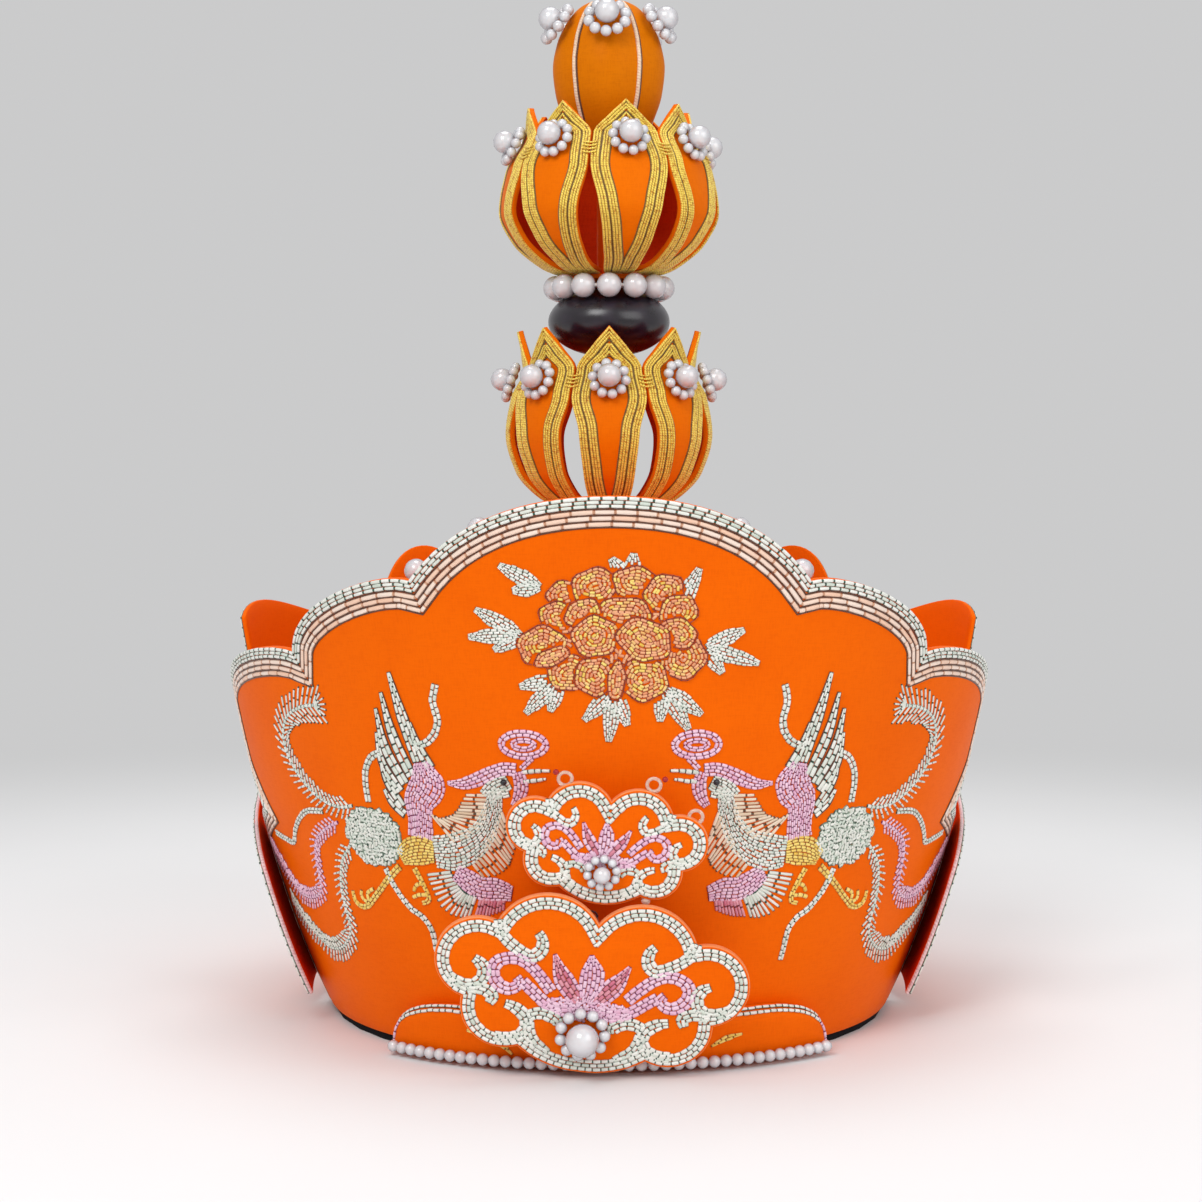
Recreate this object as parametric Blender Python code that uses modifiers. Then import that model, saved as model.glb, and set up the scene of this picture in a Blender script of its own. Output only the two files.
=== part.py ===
"""Monk's crown of satin over stiff card: two cloud-edged panels, a skull cap and a lotus finial.

The wearer's face looks along -Y, +Z is up, and the origin is under the middle of the crown's box.
"""
import math

import bmesh
import bpy
from mathutils import Matrix, Vector

MM = 0.001

# Clearance between pieces that rest on each other
SEAT = 0.3 * MM

# Flared wall that both panels follow: an ellipse that widens upwards
RIM_HALF_WIDTH = 90 * MM
RIM_HALF_DEPTH = 100 * MM
FLARE_WIDTH = 22.4 * MM
FLARE_DEPTH = 8 * MM
FLARE_HEIGHT = 60 * MM
LEAN_WIDTH = 0.13
LEAN_DEPTH = 0.10

# Panels
PANEL_HEIGHT = 166 * MM
BACK_HEIGHT = 164 * MM
PANEL_WALL = 2.5 * MM
BACK_WALL = 1.5 * MM
FLAP_GAP = 0.5 * MM
FLAP_STRAIGHTNESS = 0.3
FLAP_FOOT_RISE = 7 * MM
FLAP_FOOT_START = 0.66
FLAP_FOOT_REACH = 0.16

# Black lining that shows under the rim
LINING_HEIGHT = 2 * MM
LINING_WIDTH = 5.5 * MM
LINING_INSET = 0.3 * MM

# Skull cap
CAP_WALL = 2.2 * MM
CAP_HEIGHT = 159 * MM
CAP_DOME_HEIGHT = 80 * MM
CAP_ROUNDNESS = 2.2
CAP_SIDES = 24

# Padded brow band with its string of pearls
BROW_HALF_ANGLE = 41.0
BROW_HEIGHT = 17.5 * MM
BROW_DIP = 3 * MM
BROW_FOOT = 1 * MM
BROW_THICKNESS = 8 * MM
BROW_TOP_THICKNESS = 3.5 * MM
BROW_SQUARENESS = 7.0
BROW_PEARL = 3.6 * MM
BROW_PEARL_LIFT = 1.3 * MM

# Cloud plates on springs
LOWER_PLATE_WIDTH = 89.8 * MM
LOWER_PLATE_HEIGHT = 51.5 * MM
LOWER_PLATE_LEVEL = 30.2 * MM
LOWER_PLATE_SHIFT = -5.6 * MM
LOWER_PLATE_STANDOFF = 14 * MM
UPPER_PLATE_WIDTH = 56.3 * MM
UPPER_PLATE_HEIGHT = 34.8 * MM
UPPER_PLATE_LEVEL = 69.8 * MM
UPPER_PLATE_SHIFT = -1.3 * MM
UPPER_PLATE_STANDOFF = 10 * MM
PLATE_THICKNESS = 2.5 * MM
PLATE_TILT = 7.6
SPRING_DIAMETER = 4.6 * MM
SPRING_WIRE = 0.6 * MM
SPRING_PITCH = 2.6 * MM
SPRING_POINTS = 7

# Finial
POST_DIAMETER = 8 * MM
FLANGE_HEIGHT = 1.5 * MM
FLANGE_RADIUS = 12 * MM
PETALS = 8
PETAL_WALL = 1.5 * MM
PETAL_ROOT_RADIUS = 9 * MM
LOWER_CUP_HEIGHT = 58 * MM
LOWER_CUP_RADIUS = 33.3 * MM
LOWER_CUP_TURN = 0.0
UPPER_CUP_HEIGHT = 53.5 * MM
UPPER_CUP_RADIUS = 35.2 * MM
UPPER_CUP_TURN = 11.5
BALL_DIAMETER = 39.7 * MM
BALL_HEIGHT = 22.6 * MM
BALL_LEVEL = 222 * MM
NECK_PEARL = 8 * MM
NECK_PEARLS = 13
NECK_RADIUS = 17.6 * MM
NECK_THREAD = 1.6 * MM
BUD_DIAMETER = 37 * MM
BUD_HEIGHT = 53 * MM
BUD_RIDGES = 5
BUD_RIDGE_DEPTH = 0.05
BUD_TURN = -2.0
BUD_TOP = 326 * MM

# Pearl flowers, each one large pearl in a ring of small ones: (pearl, ring diameter, ring height)
FLOWER = (7.4 * MM, 13.6 * MM, 3.2 * MM)
LOWER_PLATE_FLOWER = (9.4 * MM, 18.0 * MM, 4.4 * MM)
UPPER_PLATE_FLOWER = (4.8 * MM, 13.0 * MM, 3.6 * MM)
LOWER_FLOWER_LEVEL = -0.263
UPPER_FLOWER_LEVEL = -0.22
LOWER_FLOWER_SHIFT = -0.5 * MM
FLOWER_SIDES = 10

# Cloud lobes of a panel's top edge, from the middle outwards: four points of a Bezier curve each,
# as (angle in degrees, height as a share of the panel's)
FRONT_LOBES = (
    ((0.0, 1.0), (13.0, 1.0), (21.5, 0.934), (26.5, 0.855)),
    ((26.5, 0.855), (31.0, 0.8735), (48.5, 0.807), (49.0, 0.720)),
    ((49.0, 0.720), (54.0, 0.738), (74.0, 0.705), (82.0, 0.633)),
)
BACK_LOBES = (
    ((0.0, 1.0), (13.0, 1.0), (21.5, 0.934), (26.5, 0.855)),
    ((26.5, 0.855), (30.0, 0.915), (39.0, 0.925), (42.0, 0.710)),
    ((42.0, 0.710), (52.0, 0.720), (71.0, 0.845), (80.0, 0.758)),
)
LOBE_COLUMNS = 6

# Side edges of the panels: (height as a share of the panel's, angle from the panel's middle in degrees)
FRONT_EDGE = ((0.0, 86.0), (0.16, 86.0), (0.30, 86.0), (0.355, 84.0), (0.405, 74.0), (0.47, 80.0), (0.575, 82.0))
BACK_EDGE = ((0.0, 113.0), (0.16, 115.5), (0.30, 114.0), (0.365, 104.0), (0.42, 86.0), (0.50, 79.0), (0.60, 80.0))

# Half of a cloud plate's outline: (x share of the half width, z share of the height, bulge of the arc that ends there)
PLATE_LOBES = (
    (0.0, 0.366, 0.0, 1),
    (0.63, 0.31, 0.30, 8),
    (0.80, -0.14, 0.52, 9),
    (0.408, -0.392, 0.285, 6),
    (0.0, -0.50, 0.085, 3),
)

# Petal: (height share, radius share, half angle in degrees)
LOWER_PETAL = (
    (0.0, 0.27, 19.0),
    (0.02, 0.50, 18.0),
    (0.09, 0.72, 17.0),
    (0.21, 0.90, 16.0),
    (0.42, 1.0, 16.8),
    (0.62, 0.955, 21.8),
    (0.77, 0.83, 21.9),
    (0.88, 0.845, 12.5),
    (1.0, 0.885, 0.0),
)
UPPER_PETAL = (
    (0.0, 0.25, 19.0),
    (0.015, 0.48, 17.5),
    (0.08, 0.68, 15.5),
    (0.20, 0.88, 15.5),
    (0.375, 1.0, 17.0),
    (0.63, 0.935, 21.9),
    (0.80, 0.785, 21.9),
    (0.90, 0.750, 12.5),
    (1.0, 0.745, 0.0),
)
FLOWER_SHARE = 0.70
UPPER_FLOWER_SHARE = 0.75

# Bud: (height share from its foot, radius share)
BUD_PROFILE = (
    (1.0, 0.0),
    (0.985, 0.32),
    (0.93, 0.58),
    (0.84, 0.78),
    (0.72, 0.93),
    (0.58, 1.0),
    (0.42, 0.95),
    (0.25, 0.78),
    (0.10, 0.56),
    (0.0, 0.40),
    (0.0, 0.0),
)
BUD_FLOWER_SHARE = 0.82
BUD_FLOWER_TILT = 35.0

# Pearl flowers on the skull cap: (name, angle from the front in degrees, share of the cap's half width)
CAP_FLOWERS = (
    ("cap_flower_1", -66.0, 0.50),
    ("cap_flower_2", 66.0, 0.50),
    ("cap_flower_3", -68.0, 0.72),
    ("cap_flower_4", 68.0, 0.72),
)

# Finishes: (name, colour, roughness, metallic)
FINISHES = {
    "satin": ((0.80, 0.16, 0.005, 1), 0.45, 0.0),
    "lining": ((0.01, 0.01, 0.012, 1), 0.8, 0.0),
    "pearl": ((0.86, 0.83, 0.82, 1), 0.2, 0.0),
    "lacquer": ((0.012, 0.009, 0.014, 1), 0.15, 0.0),
    "wire": ((0.12, 0.10, 0.10, 1), 0.4, 1.0),
}


def clear_scene():
    """Remove every object, so that the crown stands alone."""
    for item in list(bpy.data.objects):
        bpy.data.objects.remove(item, do_unlink=True)


def make_finish(name):
    """Principled material of one finish."""
    colour, roughness, metallic = FINISHES[name]
    material = bpy.data.materials.new(name)
    material.use_nodes = True
    shader = material.node_tree.nodes["Principled BSDF"]
    shader.inputs["Base Color"].default_value = colour
    shader.inputs["Roughness"].default_value = roughness
    shader.inputs["Metallic"].default_value = metallic
    material.diffuse_color = colour
    return material


def add_object(name, data, finish, collection, matrix=None):
    """Object of its own for one piece."""
    piece = bpy.data.objects.new(name, data)
    collection.objects.link(piece)
    if not data.materials:
        data.materials.append(make_finish(finish))
    if matrix is not None:
        piece.matrix_world = matrix
    return piece


def mesh_from(bm, name, smooth_angle=35.0):
    """Mesh of a bmesh, shaded smooth up to an angle."""
    bmesh.ops.remove_doubles(bm, verts=bm.verts, dist=0.01 * MM)
    mesh = bpy.data.meshes.new(name)
    bm.to_mesh(mesh)
    bm.free()
    mesh.shade_smooth()
    mesh.set_sharp_from_angle(angle=math.radians(smooth_angle))
    return mesh


def evaluated_mesh(piece, name):
    """Mesh of an object with its modifiers applied, in the world's axes; the object is removed."""
    bpy.context.view_layer.update()
    depsgraph = bpy.context.evaluated_depsgraph_get()
    mesh = bpy.data.meshes.new_from_object(piece.evaluated_get(depsgraph), depsgraph=depsgraph)
    mesh.transform(piece.matrix_world)
    mesh.name = name
    bm = bmesh.new()
    bm.from_mesh(mesh)
    bmesh.ops.remove_doubles(bm, verts=bm.verts, dist=0.01 * MM)
    bm.to_mesh(mesh)
    bm.free()
    bpy.data.objects.remove(piece, do_unlink=True)
    return mesh


def add_solidify(piece, thickness):
    """Wall that grows inwards from the outer face."""
    wall = piece.modifiers.new("wall", "SOLIDIFY")
    wall.thickness = thickness
    wall.offset = -1.0
    return wall


def add_screw(piece, steps):
    """Turn a profile about Z."""
    turn = piece.modifiers.new("turn", "SCREW")
    turn.steps = steps
    turn.render_steps = steps
    turn.use_merge_vertices = True
    turn.merge_threshold = 0.00001
    return turn


def profile_mesh(name, points, closed=False):
    """Line mesh through (radius, height) points in the XZ plane."""
    mesh = bpy.data.meshes.new(name)
    edges = [(i, i + 1) for i in range(len(points) - 1)]
    if closed:
        edges.append((len(points) - 1, 0))
    mesh.from_pydata([(r, 0.0, z) for r, z in points], edges, [])
    return mesh


def blend_rows(rows, place):
    """Linear reading of a table whose first column is the place."""
    if place <= rows[0][0]:
        return rows[0][1:]
    for low, high in zip(rows, rows[1:]):
        if place <= high[0]:
            share = (place - low[0]) / (high[0] - low[0])
            return tuple(a + (b - a) * share for a, b in zip(low[1:], high[1:]))
    return rows[-1][1:]


def ease(share):
    """Smooth step from 0 to 1."""
    share = min(1.0, max(0.0, share))
    return share * share * (3 - 2 * share)


def wall_axes(height, offset=0.0):
    """Half width and half depth of the flared wall at a height."""
    flare = 1 - math.exp(-max(height, 0.0) / FLARE_HEIGHT)
    half_width = RIM_HALF_WIDTH + FLARE_WIDTH * flare + LEAN_WIDTH * height
    half_depth = RIM_HALF_DEPTH + FLARE_DEPTH * flare + LEAN_DEPTH * height
    return half_width + offset, half_depth + offset


def wall_point(angle, height, offset=0.0):
    """Point of the flared wall at an angle from the front, in degrees, towards +X."""
    half_width, half_depth = wall_axes(height, offset)
    turn = math.radians(angle)
    return Vector((half_width * math.sin(turn), -half_depth * math.cos(turn), height))


def flap_point(angle, height):
    """Point of the back panel's outer face at an angle from the back, which stands off the front panel at the sides."""
    side_offset = BACK_WALL + FLAP_GAP + SEAT
    level = height / PANEL_HEIGHT
    offset = side_offset * ease((abs(angle) - 60) / 28) * (1 - ease((level - 0.44) / 0.14))
    half_width, half_depth = wall_axes(height)
    turn = math.radians(abs(angle))
    reach = math.sin(turn)
    if abs(angle) > 90:
        reach = 1 - FLAP_STRAIGHTNESS * (1 - math.sin(turn))
    side = -1 if angle > 0 else 1
    return Vector((side * (half_width + offset) * reach, half_depth * math.cos(turn), height))


def lobe_columns(lobes):
    """Angles and top heights, as shares, of a panel's columns from its left edge to its right edge."""
    half = [lobes[0][0]]
    for start, first, second, end in lobes:
        for step in range(1, LOBE_COLUMNS + 1):
            t = step / LOBE_COLUMNS
            weights = ((1 - t) ** 3, 3 * t * (1 - t) ** 2, 3 * t * t * (1 - t), t ** 3)
            corners = (start, first, second, end)
            half.append(tuple(sum(w * corner[i] for w, corner in zip(weights, corners)) for i in range(2)))
    left = [(-angle, level) for angle, level in reversed(half[1:])]
    return left + half


def build_panel(name, lobes, edge, height, wall, place, foot_rise, collection):
    """Stiff panel: a grid whose columns end on the cloud lobes and whose sides follow the edge table."""
    columns = lobe_columns(lobes)
    widest = lobes[-1][-1][0]
    foot = LINING_HEIGHT + SEAT
    levels = [row[0] * height for row in edge]
    rows = len(levels) + 1
    bm = bmesh.new()
    bmesh.ops.create_grid(bm, x_segments=len(columns) - 1, y_segments=rows, size=0.5)
    for vert in bm.verts:
        column = round((vert.co.x + 0.5) * (len(columns) - 1))
        row = round((vert.co.y + 0.5) * rows)
        angle, top_share = columns[column]
        side = angle / widest
        low = foot + foot_rise * ease((abs(side) - FLAP_FOOT_START) / FLAP_FOOT_REACH)
        last = levels[-1]
        if row < len(levels):
            level = low + (last - low) * levels[row] / last
        else:
            share = (row - len(levels) + 1) / 2
            level = last + (top_share * height - last) * share
        half_angle = blend_rows(edge, level / height)[0] if level < last else widest
        vert.co = place(side * half_angle, level)
    piece = add_object(name, mesh_from(bm, name), "satin", collection)
    add_solidify(piece, wall)
    return piece


def build_lining(collection):
    """Black ring that the panels and the cap stand on."""
    outer = RIM_HALF_WIDTH - LINING_INSET
    inner = outer - LINING_WIDTH
    profile = ((outer, LINING_HEIGHT), (outer, 0.0), (inner, 0.0), (inner, LINING_HEIGHT))
    ring = bpy.data.objects.new("rim_lining", profile_mesh("rim_lining", profile, closed=True))
    collection.objects.link(ring)
    add_screw(ring, 36)
    mesh = evaluated_mesh(ring, "rim_lining")
    depth = (RIM_HALF_DEPTH - LINING_INSET) / outer
    mesh.transform(Matrix.Diagonal((1, depth, 1, 1)))
    return add_object("rim_lining", mesh, "lining", collection)


def cap_axes():
    """Half width and half depth of the skull cap's outer face."""
    return RIM_HALF_WIDTH - PANEL_WALL - SEAT, RIM_HALF_DEPTH - PANEL_WALL - SEAT


def cap_section(turn):
    """Share of the half width, and height, at a turn from 0 at the spring line to 90 at the top."""
    power = 2 / CAP_ROUNDNESS
    angle = math.radians(turn)
    spring = CAP_HEIGHT - CAP_DOME_HEIGHT
    return abs(math.cos(angle)) ** power, spring + CAP_DOME_HEIGHT * math.sin(angle) ** power


def build_cap(collection):
    """Skull cap: straight sides under a full dome, open below."""
    half_width, half_depth = cap_axes()
    profile = [(0.0, CAP_HEIGHT)]
    for turn in (77, 61, 45, 30, 15, 0):
        share, level = cap_section(turn)
        profile.append((half_width * share, level))
    profile.append((half_width, (LINING_HEIGHT + cap_section(0)[1]) / 2))
    profile.append((half_width, LINING_HEIGHT + SEAT))
    cap = bpy.data.objects.new("crown_cap", profile_mesh("crown_cap", profile))
    collection.objects.link(cap)
    add_screw(cap, CAP_SIDES)
    mesh = evaluated_mesh(cap, "crown_cap")
    mesh.transform(Matrix.Diagonal((1, half_depth / half_width, 1, 1)))
    mesh.shade_smooth()
    cap = add_object("crown_cap", mesh, "satin", collection)
    add_solidify(cap, CAP_WALL)
    return cap


def brow_top(angle):
    """Height of the brow band's top edge: a dip at the middle and round ends."""
    share = min(1.0, abs(angle) / BROW_HALF_ANGLE)
    crown = BROW_HEIGHT - BROW_DIP * (1 - ease(share / 0.75))
    return BROW_FOOT + (crown - BROW_FOOT) * (1 - share ** BROW_SQUARENESS) ** 0.5


def build_brow_band(collection):
    """Padded band lofted along the front wall, with rounded ends."""
    count = 26
    bm = bmesh.new()
    rings = []
    for step in range(count + 1):
        angle = -BROW_HALF_ANGLE * math.cos(math.pi * step / count)
        top = brow_top(angle * 0.996)
        rise = top - BROW_FOOT
        section = (
            (BROW_FOOT, SEAT),
            (BROW_FOOT, BROW_THICKNESS - 1.2 * MM),
            (BROW_FOOT + rise * 0.08, BROW_THICKNESS),
            (BROW_FOOT + rise * 0.62, BROW_THICKNESS * 0.86),
            (top, BROW_TOP_THICKNESS),
            (top, SEAT),
        )
        rings.append([bm.verts.new(wall_point(angle, level, offset)) for level, offset in section])
    for left, right in zip(rings, rings[1:]):
        for index in range(len(left)):
            after = (index + 1) % len(left)
            bm.faces.new((left[index], right[index], right[after], left[after]))
    bm.faces.new(rings[0])
    bm.faces.new(tuple(reversed(rings[-1])))
    bmesh.ops.recalc_face_normals(bm, faces=bm.faces)
    return add_object("brow_band", mesh_from(bm, "brow_band"), "satin", collection)


def tube_mesh(name, points, radius, resolution=2, cyclic=False):
    """Mesh of a round wire along points."""
    curve = bpy.data.curves.new(name, "CURVE")
    curve.dimensions = "3D"
    curve.bevel_depth = radius
    curve.bevel_resolution = resolution
    curve.use_fill_caps = True
    spline = curve.splines.new("POLY")
    spline.points.add(len(points) - 1)
    for point, place in zip(spline.points, points):
        point.co = (*place, 1.0)
    spline.use_cyclic_u = cyclic
    wire = bpy.data.objects.new(name, curve)
    bpy.context.scene.collection.objects.link(wire)
    mesh = evaluated_mesh(wire, name)
    mesh.shade_smooth()
    return mesh


def build_brow_string(collection):
    """String of pearls along the foot of the brow band, as one round string."""
    radius = BROW_PEARL / 2
    offset = BROW_THICKNESS + SEAT + radius
    level = BROW_FOOT + BROW_PEARL_LIFT + radius / 3
    reach = BROW_HALF_ANGLE - 1.8
    count = 20
    points = [wall_point(reach * (2 * i / count - 1), level, offset) for i in range(count + 1)]
    mesh = tube_mesh("brow_pearl_string", points, radius)
    return add_object("brow_pearl_string", mesh, "pearl", collection)


def arc(start, end, bulge, count):
    """Points after the start of an arc that bulges to its left by a share of the chord."""
    if abs(bulge) < 1e-6:
        return [end]
    chord = end - start
    half = chord.length / 2
    rise = bulge * chord.length
    radius = (half * half + rise * rise) / (2 * rise)
    across = Vector((-chord.y, chord.x)).normalized()
    centre = start + chord / 2 - across * (radius - rise)
    sweep = 2 * math.atan2(half, radius - rise)
    arm = start - centre
    points = []
    for step in range(1, count + 1):
        turn = -sweep * step / count
        points.append(centre + Vector((
            arm.x * math.cos(turn) - arm.y * math.sin(turn),
            arm.x * math.sin(turn) + arm.y * math.cos(turn),
        )))
    return points


def plate_outline(width, height):
    """Closed cloud outline, clockwise from the notch at the top."""
    start = Vector((0.0, PLATE_LOBES[0][1] * height))
    right = [start]
    for x_share, z_share, bulge, count in PLATE_LOBES[1:]:
        end = Vector((x_share * width / 2, z_share * height))
        right += arc(right[-1], end, bulge, count)
    left = [Vector((-point.x, point.y)) for point in reversed(right[1:-1])]
    return right + left


def plate_frame(level, shift, standoff):
    """Axes of a cloud plate that stands off the front wall, parallel to it and tilted in its own plane."""
    below = wall_point(0, level * 0.8)
    above = wall_point(0, level * 1.2)
    up = (above - below).normalized()
    across = Vector((1, 0, 0))
    out = across.cross(up)
    place = wall_point(0, level) + out * standoff + across * shift
    turn = Matrix((across, up, out)).transposed().to_4x4()
    return Matrix.Translation(place) @ turn @ Matrix.Rotation(-math.radians(PLATE_TILT), 4, "Z")


def build_plate(name, width, height, frame, collection):
    """Flat cloud plate from its outline."""
    curve = bpy.data.curves.new(name, "CURVE")
    curve.dimensions = "2D"
    curve.fill_mode = "BOTH"
    curve.extrude = PLATE_THICKNESS / 2
    spline = curve.splines.new("POLY")
    outline = plate_outline(width, height)
    spline.points.add(len(outline) - 1)
    for point, place in zip(spline.points, outline):
        point.co = (place.x, place.y, 0.0, 1.0)
    spline.use_cyclic_u = True
    plate = bpy.data.objects.new(name, curve)
    bpy.context.scene.collection.objects.link(plate)
    mesh = evaluated_mesh(plate, name)
    return add_object(name, mesh, "satin", collection, frame)


def build_spring(name, level, shift, frame, standoff, collection):
    """Coil spring from the front wall to the back of a plate."""
    foot = wall_point(0, level)
    out = frame.to_3x3().col[2].normalized()
    reach = standoff - PLATE_THICKNESS / 2 - 2 * SEAT - SPRING_WIRE
    turns = round(reach / SPRING_PITCH)
    radius = (SPRING_DIAMETER - SPRING_WIRE) / 2
    across = Vector((1, 0, 0))
    up = out.cross(across)
    count = turns * SPRING_POINTS
    start = SEAT + SPRING_WIRE / 2
    points = []
    for step in range(count + 1):
        turn = 2 * math.pi * step / SPRING_POINTS
        along = start + reach * step / count
        points.append(foot + across * (shift + radius * math.cos(turn)) + up * radius * math.sin(turn) + out * along)
    return add_object(name, tube_mesh(name, points, SPRING_WIRE / 2, 1), "wire", collection)


def flower_profile(sizes):
    """Profile of a pearl flower from the top of its large pearl down to its flat back."""
    pearl, width, height = sizes
    ring = width / 2
    radius = pearl / 2
    middle = height * 0.45 + radius
    points = [(0.0, middle + radius)]
    for turn in (45, 0):
        angle = math.radians(turn)
        points.append((radius * math.cos(angle), middle + radius * math.sin(angle)))
    points.append((ring - height / 2, height))
    points.append((ring, height / 2))
    points.append((ring - height / 3, 0.0))
    points.append((0.0, 0.0))
    return points


def build_flower(name, sizes, seat, normal, collection):
    """Pearl flower whose back lies just off a surface."""
    turn = normal.to_track_quat("Z", "Y").to_matrix().to_4x4()
    matrix = Matrix.Translation(seat + normal * SEAT) @ turn
    mesh = profile_mesh(name, flower_profile(sizes))
    flower = add_object(name, mesh, "pearl", collection, matrix)
    add_screw(flower, FLOWER_SIDES)
    return flower


def petal_point(rows, foot, height, radius, azimuth, share):
    """Point on a petal's middle line, in front of the post, turned by the azimuth."""
    radius_share, _ = blend_rows(rows, share)
    turn = math.radians(azimuth)
    reach = radius * radius_share
    return Vector((reach * math.sin(turn), -reach * math.cos(turn), foot + height * share))


def build_petal(name, rows, foot, height, radius, azimuth, collection):
    """Lotus petal: a strip that bellies out from its root, meets its neighbours and ends in a point."""
    count = len(rows) - 1
    bm = bmesh.new()
    bmesh.ops.create_grid(bm, x_segments=2, y_segments=count, size=0.5)
    for vert in bm.verts:
        across = round((vert.co.x + 0.5) * 2) - 1
        share, radius_share, half_angle = rows[round((vert.co.y + 0.5) * count)]
        reach = max(radius * radius_share, PETAL_ROOT_RADIUS)
        turn = math.radians(azimuth + across * half_angle)
        vert.co = (reach * math.sin(turn), -reach * math.cos(turn), foot + height * share)
    piece = add_object(name, mesh_from(bm, name, 60.0), "satin", collection)
    add_solidify(piece, PETAL_WALL)
    return piece


def flower_seat(rows, foot, height, radius, azimuth, share):
    """Seat and direction of a flat-backed pearl flower that touches a petal's outer face."""
    reach = FLOWER[1] / 2 / height
    places = [petal_point(rows, foot, height, radius, azimuth, share + reach * step / 6) for step in range(-6, 7)]
    side = Vector((math.cos(math.radians(azimuth)), math.sin(math.radians(azimuth)), 0))
    normal = side.cross(places[-1] - places[0]).normalized()
    middle = (places[0] + places[-1]) / 2
    lift = max((place - middle).dot(normal) for place in places)
    return middle + normal * lift, normal


def build_cup(title, rows, foot, height, radius, turn, flower_share, collection):
    """Eight petals with a pearl flower on each."""
    for index in range(PETALS):
        azimuth = turn + 360 * index / PETALS
        number = index + 1
        build_petal(f"{title}_petal_{number}", rows, foot, height, radius, azimuth, collection)
        seat, normal = flower_seat(rows, foot, height, radius, azimuth, flower_share)
        build_flower(f"{title}_petal_flower_{number}", FLOWER, seat, normal, collection)


def build_ball(collection):
    """Flattened black ball, bored for the post."""
    bore = POST_DIAMETER / 2 + SEAT
    radius = BALL_DIAMETER / 2
    half = BALL_HEIGHT / 2
    lean = math.degrees(math.acos(bore / radius))
    points = []
    for step in range(10):
        turn = math.radians(lean - 2 * lean * step / 9)
        points.append((radius * math.cos(turn), BALL_LEVEL + half * math.sin(turn)))
    ball = add_object("finial_ball", profile_mesh("finial_ball", points, closed=True), "lacquer", collection)
    add_screw(ball, 16)
    return ball


def neck_level():
    """Height at which the neck pearls rest on the ball's shoulder."""
    radius = BALL_DIAMETER / 2
    half = BALL_HEIGHT / 2
    gap = NECK_PEARL / 2 + SEAT
    level = BALL_LEVEL
    for step in range(91):
        turn = math.radians(step)
        across = radius * math.cos(turn) - NECK_RADIUS
        if abs(across) < gap:
            level = max(level, BALL_LEVEL + half * math.sin(turn) + math.sqrt(gap * gap - across * across))
    return level


def build_neck_pearls(collection, cutters):
    """Ring of pearls on its thread, as one body."""
    level = neck_level()
    bm = bmesh.new()
    for index in range(NECK_PEARLS):
        turn = 2 * math.pi * index / NECK_PEARLS
        place = Matrix.Translation((NECK_RADIUS * math.sin(turn), -NECK_RADIUS * math.cos(turn), level))
        bmesh.ops.create_uvsphere(bm, u_segments=10, v_segments=5, radius=NECK_PEARL / 2, matrix=place)
    ring = add_object("neck_pearls", mesh_from(bm, "neck_pearls"), "pearl", collection)
    count = NECK_PEARLS * 2
    points = []
    for index in range(count):
        turn = 2 * math.pi * (index + 0.5) / count
        points.append((NECK_RADIUS * math.sin(turn), -NECK_RADIUS * math.cos(turn), level))
    thread = bpy.data.objects.new("neck_thread", tube_mesh("neck_thread", points, NECK_THREAD / 2, 1, True))
    cutters.objects.link(thread)
    thread.hide_render = True
    thread.display_type = "WIRE"
    union = ring.modifiers.new("thread", "BOOLEAN")
    union.operation = "UNION"
    union.solver = "EXACT"
    union.object = thread
    return ring


def upper_cup_foot():
    """Height of the upper cup's root, just over the neck pearls."""
    return neck_level() + NECK_PEARL / 2 + SEAT


def bud_foot():
    """Height of the bud's flat foot."""
    return BUD_TOP - BUD_HEIGHT


def build_post(collection):
    """Turned post that carries the two cups, the ball and the bud."""
    radius = POST_DIAMETER / 2
    base = CAP_HEIGHT + SEAT
    under_ball = BALL_LEVEL - BALL_HEIGHT / 2 * math.sin(math.acos((radius + SEAT) / (BALL_DIAMETER / 2))) - SEAT
    under_upper = upper_cup_foot() - SEAT
    top = bud_foot() - SEAT
    neck_flange = NECK_RADIUS - NECK_PEARL / 2 - 3 * SEAT
    points = (
        (0.0, top),
        (radius, top),
        (radius, under_upper),
        (neck_flange, under_upper),
        (neck_flange, under_upper - FLANGE_HEIGHT),
        (radius, under_upper - FLANGE_HEIGHT),
        (radius, under_ball),
        (radius * 1.4, under_ball),
        (radius * 1.4, under_ball - FLANGE_HEIGHT),
        (radius, under_ball - FLANGE_HEIGHT),
        (radius, base + FLANGE_HEIGHT),
        (FLANGE_RADIUS, base + FLANGE_HEIGHT),
        (FLANGE_RADIUS, base),
        (0.0, base),
    )
    post = add_object("finial_post", profile_mesh("finial_post", points), "satin", collection)
    add_screw(post, 12)
    return post


def bud_radius(share):
    """Radius of the bud at a height share from its foot."""
    rows = [row for row in reversed(BUD_PROFILE)][1:]
    return BUD_DIAMETER / 2 * blend_rows(rows, share)[0]


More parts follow.
